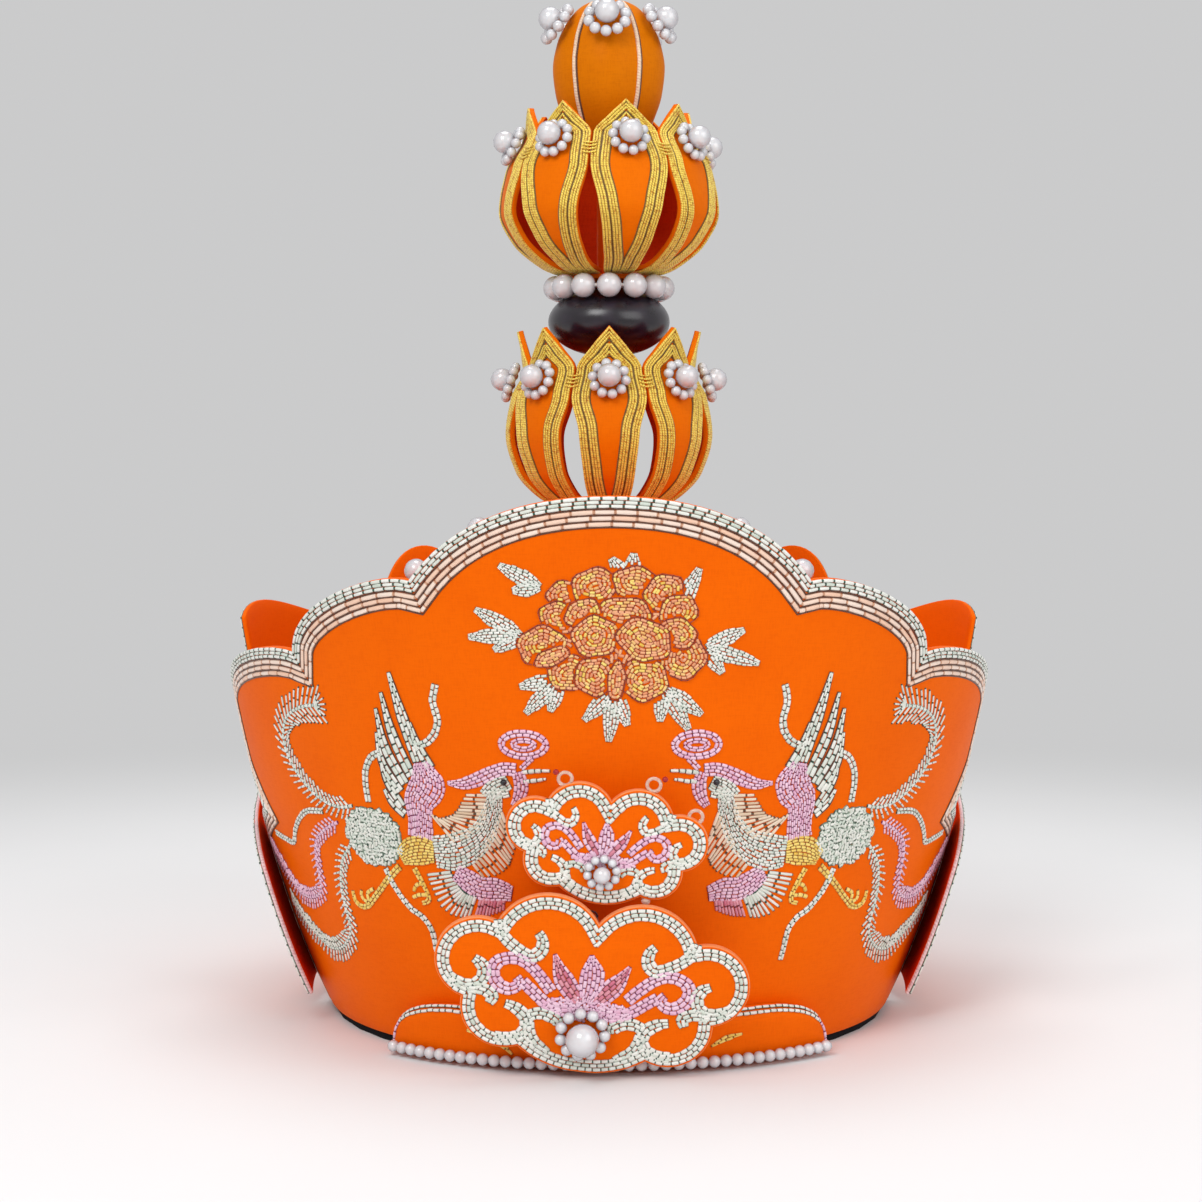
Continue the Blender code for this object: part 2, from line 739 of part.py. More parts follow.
def build_bud(collection):
    """Satin bud with five soft gores between its cord lines."""
    steps = BUD_RIDGES * 4
    foot = bud_foot()
    points = [(BUD_DIAMETER / 2 * radius, foot + BUD_HEIGHT * level) for level, radius in BUD_PROFILE]
    bud = bpy.data.objects.new("finial_bud", profile_mesh("finial_bud", points))
    collection.objects.link(bud)
    add_screw(bud, steps)
    mesh = evaluated_mesh(bud, "finial_bud")
    seam = math.radians(BUD_TURN + 180 / BUD_RIDGES)
    for vert in mesh.vertices:
        turn = math.atan2(vert.co.x, -vert.co.y)
        groove = (1 + math.cos((turn - seam) * BUD_RIDGES)) / 2
        vert.co.x *= 1 - BUD_RIDGE_DEPTH * groove
        vert.co.y *= 1 - BUD_RIDGE_DEPTH * groove
    mesh.shade_smooth()
    return add_object("finial_bud", mesh, "satin", collection)


def build_bud_flowers(collection):
    """Pearl flowers round the bud's shoulder."""
    level = bud_foot() + BUD_HEIGHT * BUD_FLOWER_SHARE
    reach = bud_radius(BUD_FLOWER_SHARE) + SEAT
    for index in range(BUD_RIDGES):
        turn = math.radians(BUD_TURN + 360 * index / BUD_RIDGES)
        out = Vector((math.sin(turn), -math.cos(turn), 0))
        tilt = math.radians(BUD_FLOWER_TILT)
        normal = out * math.cos(tilt) + Vector((0, 0, math.sin(tilt)))
        seat = out * reach + Vector((0, 0, level))
        build_flower(f"bud_flower_{index + 1}", FLOWER, seat, normal, collection)


def build_cap_flowers(collection):
    """Pearl flowers that stand on the skull cap behind the front panel."""
    half_width, half_depth = cap_axes()
    spring = CAP_HEIGHT - CAP_DOME_HEIGHT
    for name, azimuth, share in CAP_FLOWERS:
        rise = (1 - share ** CAP_ROUNDNESS) ** (1 / CAP_ROUNDNESS)
        turn = math.radians(azimuth)
        seat = Vector((half_width * share * math.sin(turn), -half_depth * share * math.cos(turn),
                       spring + CAP_DOME_HEIGHT * rise))
        steep = share ** (CAP_ROUNDNESS - 1) / half_width
        flat = rise ** (CAP_ROUNDNESS - 1) / CAP_DOME_HEIGHT
        normal = Vector((steep * math.sin(turn), -steep * math.cos(turn), flat)).normalized()
        build_flower(name, FLOWER, seat, normal, collection)


def build_plates(collection):
    """Both cloud plates, their springs and their pearl flowers."""
    plates = (
        ("upper_cloud_plate", UPPER_PLATE_WIDTH, UPPER_PLATE_HEIGHT, UPPER_PLATE_LEVEL, UPPER_PLATE_SHIFT,
         UPPER_PLATE_STANDOFF, UPPER_PLATE_FLOWER, UPPER_FLOWER_LEVEL, 0.0, 0.0),
        ("lower_cloud_plate", LOWER_PLATE_WIDTH, LOWER_PLATE_HEIGHT, LOWER_PLATE_LEVEL, LOWER_PLATE_SHIFT,
         LOWER_PLATE_STANDOFF, LOWER_PLATE_FLOWER, LOWER_FLOWER_LEVEL, LOWER_FLOWER_SHIFT, 0.30),
    )
    for name, width, height, level, shift, standoff, flower, flower_level, flower_shift, spring_share in plates:
        frame = plate_frame(level, shift, standoff)
        build_plate(name, width, height, frame, collection)
        across, up, out = frame.to_3x3().col
        front = frame.translation + out * (PLATE_THICKNESS / 2)
        seat = front + up * (flower_level * height) + across * flower_shift
        build_flower(name + "_flower", flower, seat, out, collection)
        build_spring(name + "_spring", level + spring_share * height, shift, frame, standoff, collection)


def centre_pieces(collection):
    """Move every piece along Y so that the origin lies under the middle of the crown's box."""
    bpy.context.view_layer.update()
    depsgraph = bpy.context.evaluated_depsgraph_get()
    depths = []
    for piece in collection.objects:
        shape = piece.evaluated_get(depsgraph)
        depths += [(piece.matrix_world @ vert.co).y for vert in shape.to_mesh().vertices]
        shape.to_mesh_clear()
    shift = Vector((0, -(min(depths) + max(depths)) / 2, 0))
    for piece in collection.objects:
        piece.location += shift
    return shift


def build_crown():
    """Build every piece of the crown."""
    clear_scene()
    collection = bpy.data.collections.new("monk_crown")
    cutters = bpy.data.collections.new("cutters")
    bpy.context.scene.collection.children.link(collection)
    bpy.context.scene.collection.children.link(cutters)
    build_lining(collection)
    build_cap(collection)
    build_panel("front_panel", FRONT_LOBES, FRONT_EDGE, PANEL_HEIGHT, PANEL_WALL, wall_point, 0.0, collection)
    build_panel("back_panel", BACK_LOBES, BACK_EDGE, BACK_HEIGHT, BACK_WALL, flap_point, FLAP_FOOT_RISE,
                collection)
    build_brow_band(collection)
    build_brow_string(collection)
    build_plates(collection)
    build_cap_flowers(collection)
    lower_foot = CAP_HEIGHT + SEAT + FLANGE_HEIGHT + SEAT
    build_cup("lower", LOWER_PETAL, lower_foot, LOWER_CUP_HEIGHT, LOWER_CUP_RADIUS, LOWER_CUP_TURN,
              FLOWER_SHARE, collection)
    build_cup("upper", UPPER_PETAL, upper_cup_foot(), UPPER_CUP_HEIGHT, UPPER_CUP_RADIUS, UPPER_CUP_TURN,
              UPPER_FLOWER_SHARE, collection)
    build_ball(collection)
    build_neck_pearls(collection, cutters)
    build_post(collection)
    build_bud(collection)
    build_bud_flowers(collection)
    shift = centre_pieces(collection)
    for cutter in cutters.objects:
        cutter.location += shift


build_crown()
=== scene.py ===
"""Dress a monk's crown: satin panels with couched embroidery, sprung cloud plates and a lotus finial.

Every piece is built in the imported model's frame, in metres, on the solid that it dresses.
"""
from __future__ import annotations

import functools
import itertools
import logging
import math
import random
from dataclasses import dataclass, field
from enum import Enum
from typing import Callable, Iterable, Sequence

import bmesh
import bpy
import numpy as np
from mathutils import Matrix, Vector

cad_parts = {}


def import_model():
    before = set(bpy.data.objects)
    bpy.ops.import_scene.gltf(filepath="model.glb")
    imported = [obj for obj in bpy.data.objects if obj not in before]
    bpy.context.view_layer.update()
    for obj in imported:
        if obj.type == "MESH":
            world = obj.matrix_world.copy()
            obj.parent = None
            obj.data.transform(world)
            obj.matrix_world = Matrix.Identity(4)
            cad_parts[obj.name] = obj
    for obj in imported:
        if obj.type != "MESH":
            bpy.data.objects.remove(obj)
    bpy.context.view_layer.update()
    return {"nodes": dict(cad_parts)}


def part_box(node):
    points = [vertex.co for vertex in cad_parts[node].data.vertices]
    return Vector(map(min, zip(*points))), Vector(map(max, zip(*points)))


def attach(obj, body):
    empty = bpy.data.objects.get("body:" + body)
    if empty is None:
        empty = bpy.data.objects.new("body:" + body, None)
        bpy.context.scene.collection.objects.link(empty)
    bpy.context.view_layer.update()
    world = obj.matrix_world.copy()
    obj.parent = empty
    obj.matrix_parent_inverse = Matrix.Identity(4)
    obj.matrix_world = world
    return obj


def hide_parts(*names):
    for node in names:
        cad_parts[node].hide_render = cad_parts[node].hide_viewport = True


LOG = logging.getLogger("monk_crown")

MM = 0.001
ROOT = "root"
SEAT = 0.3 * MM
GROUND = 1.97 * MM
DOUBLES = 0.005 * MM

Place = tuple[float, float]
Colour = tuple[float, float, float]
Rows = Sequence[tuple[float, ...]]
Socket = bpy.types.NodeSocket


def tangent(slopes: Sequence[float], index: int) -> float:
    """Slope of a smooth line at one row of a table.

    Args:
        slopes: Slopes between the rows.
        index: The row.

    Returns:
        The slope, flat where the table turns.
    """
    if index in (0, len(slopes)):
        return slopes[min(index, len(slopes) - 1)]
    before, after = slopes[index - 1], slopes[index]
    return 0.0 if before * after <= 0 else 2 * before * after / (before + after)


def monotone(rows: Rows, place: float) -> tuple[float, ...]:
    """Read a table smoothly, with no overshoot between its rows.

    Args:
        rows: Rows whose first column is the place, in rising order.
        place: Where to read.

    Returns:
        The other columns at that place.
    """
    xs = [row[0] for row in rows]
    place = min(max(place, xs[0]), xs[-1])
    index = max(i for i in range(len(xs) - 1) if xs[i] <= place or i == 0)
    step = xs[index + 1] - xs[index]
    share = (place - xs[index]) / step
    square, cube = share * share, share ** 3
    values = []
    for ys in list(zip(*rows))[1:]:
        slopes = [(ys[i + 1] - ys[i]) / (xs[i + 1] - xs[i]) for i in range(len(xs) - 1)]
        low, high = tangent(slopes, index) * step, tangent(slopes, index + 1) * step
        values.append((2 * cube - 3 * square + 1) * ys[index] + (cube - 2 * square + share) * low
                      + (3 * square - 2 * cube) * ys[index + 1] + (cube - square) * high)
    return tuple(values)


def ease(share: float) -> float:
    """Smooth step from 0 to 1."""
    share = min(1.0, max(0.0, share))
    return share * share * (3 - 2 * share)


def even_line(points: Sequence[Vector], step: float) -> list[Vector]:
    """Space the points of a line evenly.

    Args:
        points: Points of the line, in two or three dimensions.
        step: Distance between points.

    Returns:
        Points from the line's start to its end.
    """
    table = np.array([tuple(point) for point in points])
    lengths = np.concatenate(([0.0], np.cumsum(np.linalg.norm(np.diff(table, axis=0), axis=1))))
    count = max(1, round(lengths[-1] / step))
    marks = np.linspace(0.0, lengths[-1], count + 1)
    columns = [np.interp(marks, lengths, table[:, axis]) for axis in range(table.shape[1])]
    return [Vector(point) for point in zip(*columns)]


def smooth_line(points: Sequence[Place], step: float, loop: bool = False) -> list[Vector]:
    """Pass an even, smooth line through a few points.

    Args:
        points: Points to pass through.
        step: Distance between the points of the line.
        loop: Whether the line closes on itself.

    Returns:
        The line's points, in two dimensions.
    """
    marks = [Vector(point[:2]) for point in points]
    if loop:
        marks = [marks[-1]] + marks + marks[:2]
    elif len(marks) > 1:
        marks = [marks[0] * 2 - marks[1]] + marks + [marks[-1] * 2 - marks[-2]]
    parts = 12
    fine: list[Vector] = []
    for a, b, c, d in zip(marks, marks[1:], marks[2:], marks[3:]):
        for part in range(parts):
            t = part / parts
            fine.append(0.5 * (2 * b + (c - a) * t + (2 * a - 5 * b + 4 * c - d) * t * t
                               + (3 * b - a - 3 * c + d) * t ** 3))
    fine.append(marks[-2].copy())
    return even_line(fine, step)


def heading(line: Sequence[Vector], step: int) -> Vector:
    """Direction of a line at one of its points."""
    return (line[min(len(line) - 1, step + 1)] - line[max(0, step - 1)]).normalized()


def spread(values: Sequence[float], count: int) -> np.ndarray:
    """Values given at even steps, read at more steps."""
    return np.interp(np.linspace(0.0, len(values) - 1.0, count), range(len(values)), values)


def around(centre: float, turn: float, across: float, deep: float, level: float) -> Vector:
    """Point of a level ellipse about the crown's axis, at a turn from the front in radians."""
    return Vector((across * math.sin(turn), centre - deep * math.cos(turn), level))


def ring_turns(count: int, start: float = 0.0) -> list[float]:
    """Even turns round a ring, in radians, from a start in degrees."""
    return [math.radians(start + 360 * index / count) for index in range(count)]


class Board:
    """Adds and links the nodes of one node tree."""

    def __init__(self, tree: bpy.types.NodeTree) -> None:
        """Remember the tree that nodes are added to."""
        self.tree = tree

    def feed(self, node: bpy.types.Node, **inputs: object) -> bpy.types.Node:
        """Set or link a node's inputs.

        Args:
            node: The node.
            inputs: Values, colours or sockets, by name with underscores for spaces, or i0, i1 by place.

        Returns:
            The node.
        """
        for key, value in inputs.items():
            by_place = key[0] == "i" and key[1:].isdigit()
            socket = node.inputs[int(key[1:]) if by_place else key.replace("_", " ")]
            if isinstance(value, Socket):
                self.tree.links.new(value, socket)
            elif socket.type == "RGBA" and len(value) == 3:
                socket.default_value = (*value, 1.0)
            else:
                socket.default_value = value
        return node

    def add(self, kind: str, settings: dict | None = None, **inputs: object) -> bpy.types.Node:
        """Add a node.

        Args:
            kind: The node's type.
            settings: Properties of the node itself.
            inputs: Its inputs, as feed takes them.

        Returns:
            The node.
        """
        node = self.tree.nodes.new(kind)
        for key, value in (settings or {}).items():
            setattr(node, key, value)
        return self.feed(node, **inputs)

    def math(self, operation: str, first: object, second: object = 0.0, third: object = 0.0) -> Socket:
        """Add a Math node and return its output."""
        return self.add("ShaderNodeMath", {"operation": operation}, i0=first, i1=second, i2=third).outputs[0]

    def times(self, first: object, second: object) -> Socket:
        """Multiply two values."""
        return self.math("MULTIPLY", first, second)

    def blend(self, factor: object, first: object, second: object) -> Socket:
        """Mix two colours."""
        return self.add("ShaderNodeMix", {"data_type": "RGBA"}, i0=factor, i6=first, i7=second).outputs[2]

    def ramp(self, value: object, low: object, high: object) -> Socket:
        """Map a value smoothly from low..high to 0..1."""
        return self.add("ShaderNodeMapRange", {"interpolation_type": "SMOOTHSTEP"},
                        Value=value, From_Min=low, From_Max=high, To_Min=0.0, To_Max=1.0).outputs[0]

    def place(self) -> Socket:
        """Place on the piece, in its own coordinates."""
        return self.add("ShaderNodeTexCoord").outputs["Object"]

    def noise(self, place: Socket, scale: object, detail: float) -> Socket:
        """Noise at a place, from 0 to 1."""
        return self.add("ShaderNodeTexNoise", Vector=place, Scale=scale, Detail=detail).outputs["Fac"]

    def bump(self, height: Socket, strength: float, distance: float) -> Socket:
        """Normal with a height's relief."""
        return self.add("ShaderNodeBump", Strength=strength, Distance=distance, Height=height).outputs[0]

    def read(self, name: str) -> Socket:
        """Value of a mesh attribute in a shader."""
        return self.add("ShaderNodeAttribute", {"attribute_name": name}).outputs["Fac"]

    def direction(self, name: str) -> Socket:
        """Vector of a mesh attribute in Geometry Nodes."""
        return self.add("GeometryNodeInputNamedAttribute", {"data_type": "FLOAT_VECTOR"},
                        Name=name).outputs["Attribute"]

    def keep(self, geometry: Socket, name: str, value: Socket, domain: str = "POINT") -> Socket:
        """Store a value on a geometry under a name."""
        return self.add("GeometryNodeStoreNamedAttribute", {"data_type": "FLOAT", "domain": domain},
                        Geometry=geometry, Name=name, Value=value).outputs[0]

    def scatter(self, points: Socket, shape: Socket) -> Socket:
        """Put a shape on every point by the point's own directions and size.

        Args:
            points: The points.
            shape: What to put there, its Z along the point's line and its Y away from the cloth.

        Returns:
            The instances.
        """
        lain = self.add("FunctionNodeAlignRotationToVector", {"axis": "Z", "pivot_axis": "AUTO"},
                        Vector=self.direction("along_line"))
        turned = self.add("FunctionNodeAlignRotationToVector", {"axis": "Y", "pivot_axis": "Z"},
                          Rotation=lain.outputs[0], Vector=self.direction("up"))
        return self.add("GeometryNodeInstanceOnPoints", Points=points, Instance=shape,
                        Rotation=turned.outputs[0], Scale=self.direction("size")).outputs[0]

    def close_group(self, **outputs: Socket) -> bpy.types.NodeTree:
        """End a shader group in its outputs.

        Args:
            outputs: Colours and values by the names that the group gives them.

        Returns:
            The group.
        """
        for label, socket in outputs.items():
            kind = "NodeSocketColor" if socket.type == "RGBA" else "NodeSocketFloat"
            self.tree.interface.new_socket(label, in_out="OUTPUT", socket_type=kind)
        self.add("NodeGroupOutput", **outputs)
        return self.tree

    def close_shape(self, geometry: Socket, material: bpy.types.Material) -> bpy.types.NodeTree:
        """End a Geometry Nodes tree in Realize Instances and Set Material.

        Args:
            geometry: The finished geometry.
            material: Its material.

        Returns:
            The tree.
        """
        real = self.add("GeometryNodeRealizeInstances", Geometry=geometry)
        smooth = self.add("GeometryNodeSetShadeSmooth", Geometry=real.outputs[0])
        self.add("NodeGroupOutput", i0=self.add("GeometryNodeSetMaterial", Geometry=smooth.outputs[0],
                                                Material=material).outputs[0])
        return self.tree


def start_tree(name: str, kind: str, inputs: dict[str, object]) -> tuple[Board, Sequence[Socket]]:
    """Start a node group with named inputs, for shading or for geometry.

    Args:
        name: The group's name.
        kind: The tree's type.
        inputs: Default values by name: whole numbers, values or colours.

    Returns:
        A board to add its nodes with, and its inputs by name.
    """
    tree = bpy.data.node_groups.new(name, kind)
    if kind == "GeometryNodeTree":
        for way in ("INPUT", "OUTPUT"):
            tree.interface.new_socket("Geometry", in_out=way, socket_type="NodeSocketGeometry")
    kinds = {int: "NodeSocketInt", float: "NodeSocketFloat", tuple: "NodeSocketColor"}
    for label, value in inputs.items():
        socket = tree.interface.new_socket(label, in_out="INPUT", socket_type=kinds[type(value)])
        socket.default_value = value
    return Board(tree), tree.nodes.new("NodeGroupInput").outputs


@functools.cache
def thread_tone_group() -> bpy.types.NodeTree:
    """Colour couched stitches in two tones, dark at the joints, with painted shade down the flanks between
    rows.

    Returns:
        The group, which reads the stitches' tone, reach and crest.
    """
    board, given = start_tree("thread_tone", "ShaderNodeTree", {
        "Light": (1.0, 1.0, 1.0, 1.0), "Deep": (0.5, 0.5, 0.5, 1.0), "Tick": (0.05, 0.05, 0.03, 1.0),
        "Joint": 0.86, "Flank": 0.20})
    fibre = board.noise(board.place(), 2600.0, 2.0)
    body = board.blend(board.math("POWER", board.read("tone"), 1.5), given["Light"], given["Deep"])
    body = board.blend(board.times(fibre, 0.3), body, given["Deep"])
    joint = board.ramp(board.read("reach"), given["Joint"], 1.0)
    # painted shade: the stitch darkens to the joints' dark colour down its lower flanks, near the cloth, for
    # the shade between rows
    flank_shade = board.ramp(board.read("crest"), given["Flank"], -0.25)
    colour = board.blend(board.math("MAXIMUM", joint, flank_shade), body, given["Tick"])
    return board.close_group(Color=colour, Height=fibre)


@functools.cache
def cord_twist_group() -> bpy.types.NodeTree:
    """Colour and height of a twisted cord, with painted shade in the twist's grooves.

    Returns:
        The group, which reads the distance along the cord and the turn round it.
    """
    board, given = start_tree("cord_twist", "ShaderNodeTree", {
        "Light": (1.0, 1.0, 1.0, 1.0), "Deep": (0.5, 0.5, 0.5, 1.0), "Turns": 1400.0, "Contrast": 0.6})
    phase = board.times(board.read("along"), board.times(given["Turns"], 2 * math.pi))
    wave = board.math("ADD", board.times(board.math("SINE", phase), board.read("round_cos")),
                      board.times(board.math("COSINE", phase), board.read("round_sin")))
    ridge = board.math("MULTIPLY_ADD", wave, 0.5, 0.5)
    # painted shade: the colour darkens in the twist's grooves, by the contrast
    painted_groove_shade = board.times(board.math("SUBTRACT", 1.0, ridge), given["Contrast"])
    patch = board.ramp(board.noise(board.place(), 1000.0, 2.0), 0.46, 0.72)
    shade = board.math("MULTIPLY_ADD", patch, 0.7, painted_groove_shade)
    colour = board.blend(board.math("MINIMUM", shade, 1.0), given["Light"], given["Deep"])
    return board.close_group(Color=colour, Height=ridge)


@functools.cache
def satin_weave_group() -> bpy.types.NodeTree:
    """Fine slubs along a satin's weave, faint patches and a weave height.

    Returns:
        The group, whose gloss is what the weave adds to the roughness.
    """
    board, given = start_tree("satin_weave", "ShaderNodeTree", {
        "Base": (1.0, 1.0, 1.0, 1.0), "Shade": (0.5, 0.5, 0.5, 1.0), "Slub": 0.5, "Thread Scale": 2400.0})
    place = board.place()
    threads = []
    for stretch in ((1.0, 1.0, 0.12), (0.12, 0.12, 1.0)):
        way = board.add("ShaderNodeMapping", Vector=place, Scale=stretch).outputs[0]
        threads.append(board.times(board.noise(way, given["Thread Scale"], 1.0), 0.5))
    weave = board.math("ADD", *threads)
    patch = board.times(board.ramp(board.noise(place, 45.0, 4.0), 0.35, 0.8), 0.35)
    shade = board.math("ADD", board.times(board.ramp(weave, 0.42, 0.68), given["Slub"]), patch)
    colour = board.blend(board.math("MINIMUM", shade, 1.0), given["Base"], given["Shade"])
    return board.close_group(Color=colour, Height=weave, Gloss=board.times(weave, 0.12))


class Slot(Enum):
    """Kinds of material, one for each finish."""

    SATIN = "satin"
    LINING = "lining"
    PEARL = "pearl"
    LACQUER = "lacquer"
    WIRE = "wire"
    SILVER = "silver_thread"
    GOLD = "gold_thread"
    PINK = "pink_thread"


def start_material(name: str, colour: Colour) -> tuple[bpy.types.Material, Board, bpy.types.Node]:
    """Make a material with one Principled shader.

    Args:
        name: The material's name.
        colour: Its plain colour in viewports.

    Returns:
        The material, a board for its nodes and the shader.
    """
    material = bpy.data.materials.new(name)
    material.use_nodes = True
    material.diffuse_color = (*colour, 1.0)
    return material, Board(material.node_tree), material.node_tree.nodes["Principled BSDF"]


@dataclass(frozen=True)
class Finish:
    """A finish: its material's name and first colour, and a slot label."""

    name: str
    slot: Slot
    base: Colour

    def inputs(self, board: Board) -> dict[str, object]:
        """Inputs of the Principled shader, as feed takes them."""
        raise NotImplementedError


@functools.cache
def material_of(finish: Finish) -> bpy.types.Material:
    """Material of a finish, made when first asked for.

    Args:
        finish: The finish.

    Returns:
        Its one material.
    """
    material, board, shader = start_material(finish.name, finish.base)
    board.feed(shader, **finish.inputs(board))
    return material


@dataclass(frozen=True)
class SatinFinish(Finish):
    """Satin cloth with a fine weave."""

    shade: Colour
    roughness: float = 0.42
    slub: float = 0.5

    def inputs(self, board: Board) -> dict[str, object]:
        """Cloth from the satin group.

        Args:
            board: Nodes of the material.

        Returns:
            Inputs of the Principled shader.
        """
        weave = board.add("ShaderNodeGroup", {"node_tree": satin_weave_group()},
                          Base=self.base, Shade=self.shade, Slub=self.slub).outputs
        return {"Base_Color": weave["Color"], "Roughness": board.math("ADD", weave["Gloss"], self.roughness),
                "Normal": board.bump(weave["Height"], 0.16, 0.12 * MM), "Specular_IOR_Level": 0.035}


@dataclass(frozen=True)
class StitchFinish(Finish):
    """Couched thread in short stitches."""

    deep: Colour
    # dark colour of the couching stitches at the joints, also used as painted shade down the flanks
    tick: Colour
    roughness: float = 0.38
    joint: float = 0.88

    def inputs(self, board: Board) -> dict[str, object]:
        """Thread from the tone group.

        Args:
            board: Nodes of the material.

        Returns:
            Inputs of the Principled shader.
        """
        tone = board.add("ShaderNodeGroup", {"node_tree": thread_tone_group()},
                         Light=self.base, Deep=self.deep, Tick=self.tick, Joint=self.joint).outputs
        return {"Base_Color": tone["Color"], "Normal": board.bump(tone["Height"], 0.3, 0.15 * MM),
                "Roughness": self.roughness, "Sheen_Weight": 0.15}


@dataclass(frozen=True)
class CordFinish(Finish):
    """Twisted cord laid in long lines."""

    deep: Colour
    turns: float
    contrast: float = 0.5
    metallic: float = 0.0
    roughness: float = 0.4

    def inputs(self, board: Board) -> dict[str, object]:
        """Cord from the twist group.

        Args:
            board: Nodes of the material.

        Returns:
            Inputs of the Principled shader.
        """
        twist = board.add("ShaderNodeGroup", {"node_tree": cord_twist_group()}, Light=self.base,
                          Deep=self.deep, Turns=self.turns, Contrast=self.contrast).outputs
        return {"Base_Color": twist["Color"], "Normal": board.bump(twist["Height"], 0.5, 0.2 * MM),
                "Metallic": self.metallic, "Roughness": self.roughness, "Sheen_Weight": 0.15}


@dataclass(frozen=True)
class PearlFinish(Finish):
    """Pearl lustre: white body with faint clouding and painted shade that darkens its rim."""

    cloud: Colour
    # dark colour of the painted shade at the rim
    rose: Colour

    def inputs(self, board: Board) -> dict[str, object]:
        """Clouded body that darkens towards its rim as painted shade.

        Args:
            board: Nodes of the material.

        Returns:
            Inputs of the Principled shader.
        """
        place = board.place()
        edge = board.add("ShaderNodeLayerWeight", Blend=0.42).outputs["Facing"]
        tint = board.blend(board.ramp(board.noise(place, 260.0, 2.0), 0.4, 0.7), self.base, self.cloud)
        # painted shade: the body darkens where the pearl turns away from the eye
        tint = board.blend(board.times(edge, 0.9), tint, self.rose)
        return {"Base_Color": tint, "Normal": board.bump(board.noise(place, 900.0, 1.0), 0.05, 0.2 * MM),
                "Roughness": 0.16, "Coat_Weight": 1.0, "Coat_Roughness": 0.05, "Subsurface_Weight": 0.1,
                "Subsurface_Radius": (1.0 * MM, 0.7 * MM, 0.6 * MM)}


@dataclass(frozen=True)
class LacquerFinish(Finish):
    """Black gloss with a faint haze and fine scuffs."""

    haze: Colour

    def inputs(self, board: Board) -> dict[str, object]:
        """Hazy gloss under a coat.

        Args:
            board: Nodes of the material.

        Returns:
            Inputs of the Principled shader.
        """
        haze = board.noise(board.place(), 150.0, 4.0)
        return {"Base_Color": board.blend(board.ramp(haze, 0.4, 0.8), self.base, self.haze),
                "Roughness": board.math("MULTIPLY_ADD", haze, 0.16, 0.20),
                "Coat_Weight": 0.3, "Coat_Roughness": 0.3}


@dataclass(frozen=True)
class TrimFinish(Finish):
    """Small trim: a colour with a fine mottle, as metal, glass or plastic."""

    shade: Colour
    roughness: float = 0.35
    metallic: float = 0.0
    transmission: float = 0.0
    grain: float = 900.0

    def inputs(self, board: Board) -> dict[str, object]:
        """Mottled colour with a light relief.

        Args:
            board: Nodes of the material.

        Returns:
            Inputs of the Principled shader.
        """
        grain = board.noise(board.place(), self.grain, 3.0)
        return {"Base_Color": board.blend(board.ramp(grain, 0.35, 0.7), self.base, self.shade),
                "Roughness": board.math("MULTIPLY_ADD", grain, 0.2, self.roughness - 0.1),
                "Normal": board.bump(grain, 0.15, 0.1 * MM),
                "Metallic": self.metallic, "Transmission_Weight": self.transmission}


ORANGE = SatinFinish("orange_satin", Slot.SATIN, (0.88, 0.134, 0.0006), (0.78, 0.100, 0.0006), slub=0.35)
PETAL_SATIN = SatinFinish("petal_satin", Slot.SATIN, (0.84, 0.165, 0.0006), (0.74, 0.125, 0.0006), slub=0.35)
BUD_SATIN = SatinFinish("amber_bud_satin", Slot.SATIN, (0.70, 0.180, 0.0008), (0.54, 0.115, 0.0008), slub=0.3)
# dark red inner face: painted shade on the panels' and cap's inner faces, the petals' own red inside
RED_AND_SHADE_INSIDE = SatinFinish("red_inner_and_painted_shade_satin", Slot.SATIN, (0.72, 0.050, 0.004), (0.58, 0.030, 0.003), 0.5)
EDGE_SATIN = SatinFinish("salmon_edge_satin", Slot.SATIN, (0.88, 0.30, 0.12), (0.82, 0.18, 0.05), 0.4)
BLACK_CLOTH = SatinFinish("black_lining", Slot.LINING, (0.010, 0.010, 0.012), (0.022, 0.020, 0.022), 0.75)
LACQUER = LacquerFinish("black_lacquer", Slot.LACQUER, (0.006, 0.003, 0.007), (0.018, 0.010, 0.022))
CLEAR = TrimFinish("clear_loop", Slot.WIRE, (0.92, 0.72, 0.60), (0.82, 0.50, 0.38), 0.2, 0.0, 0.35)


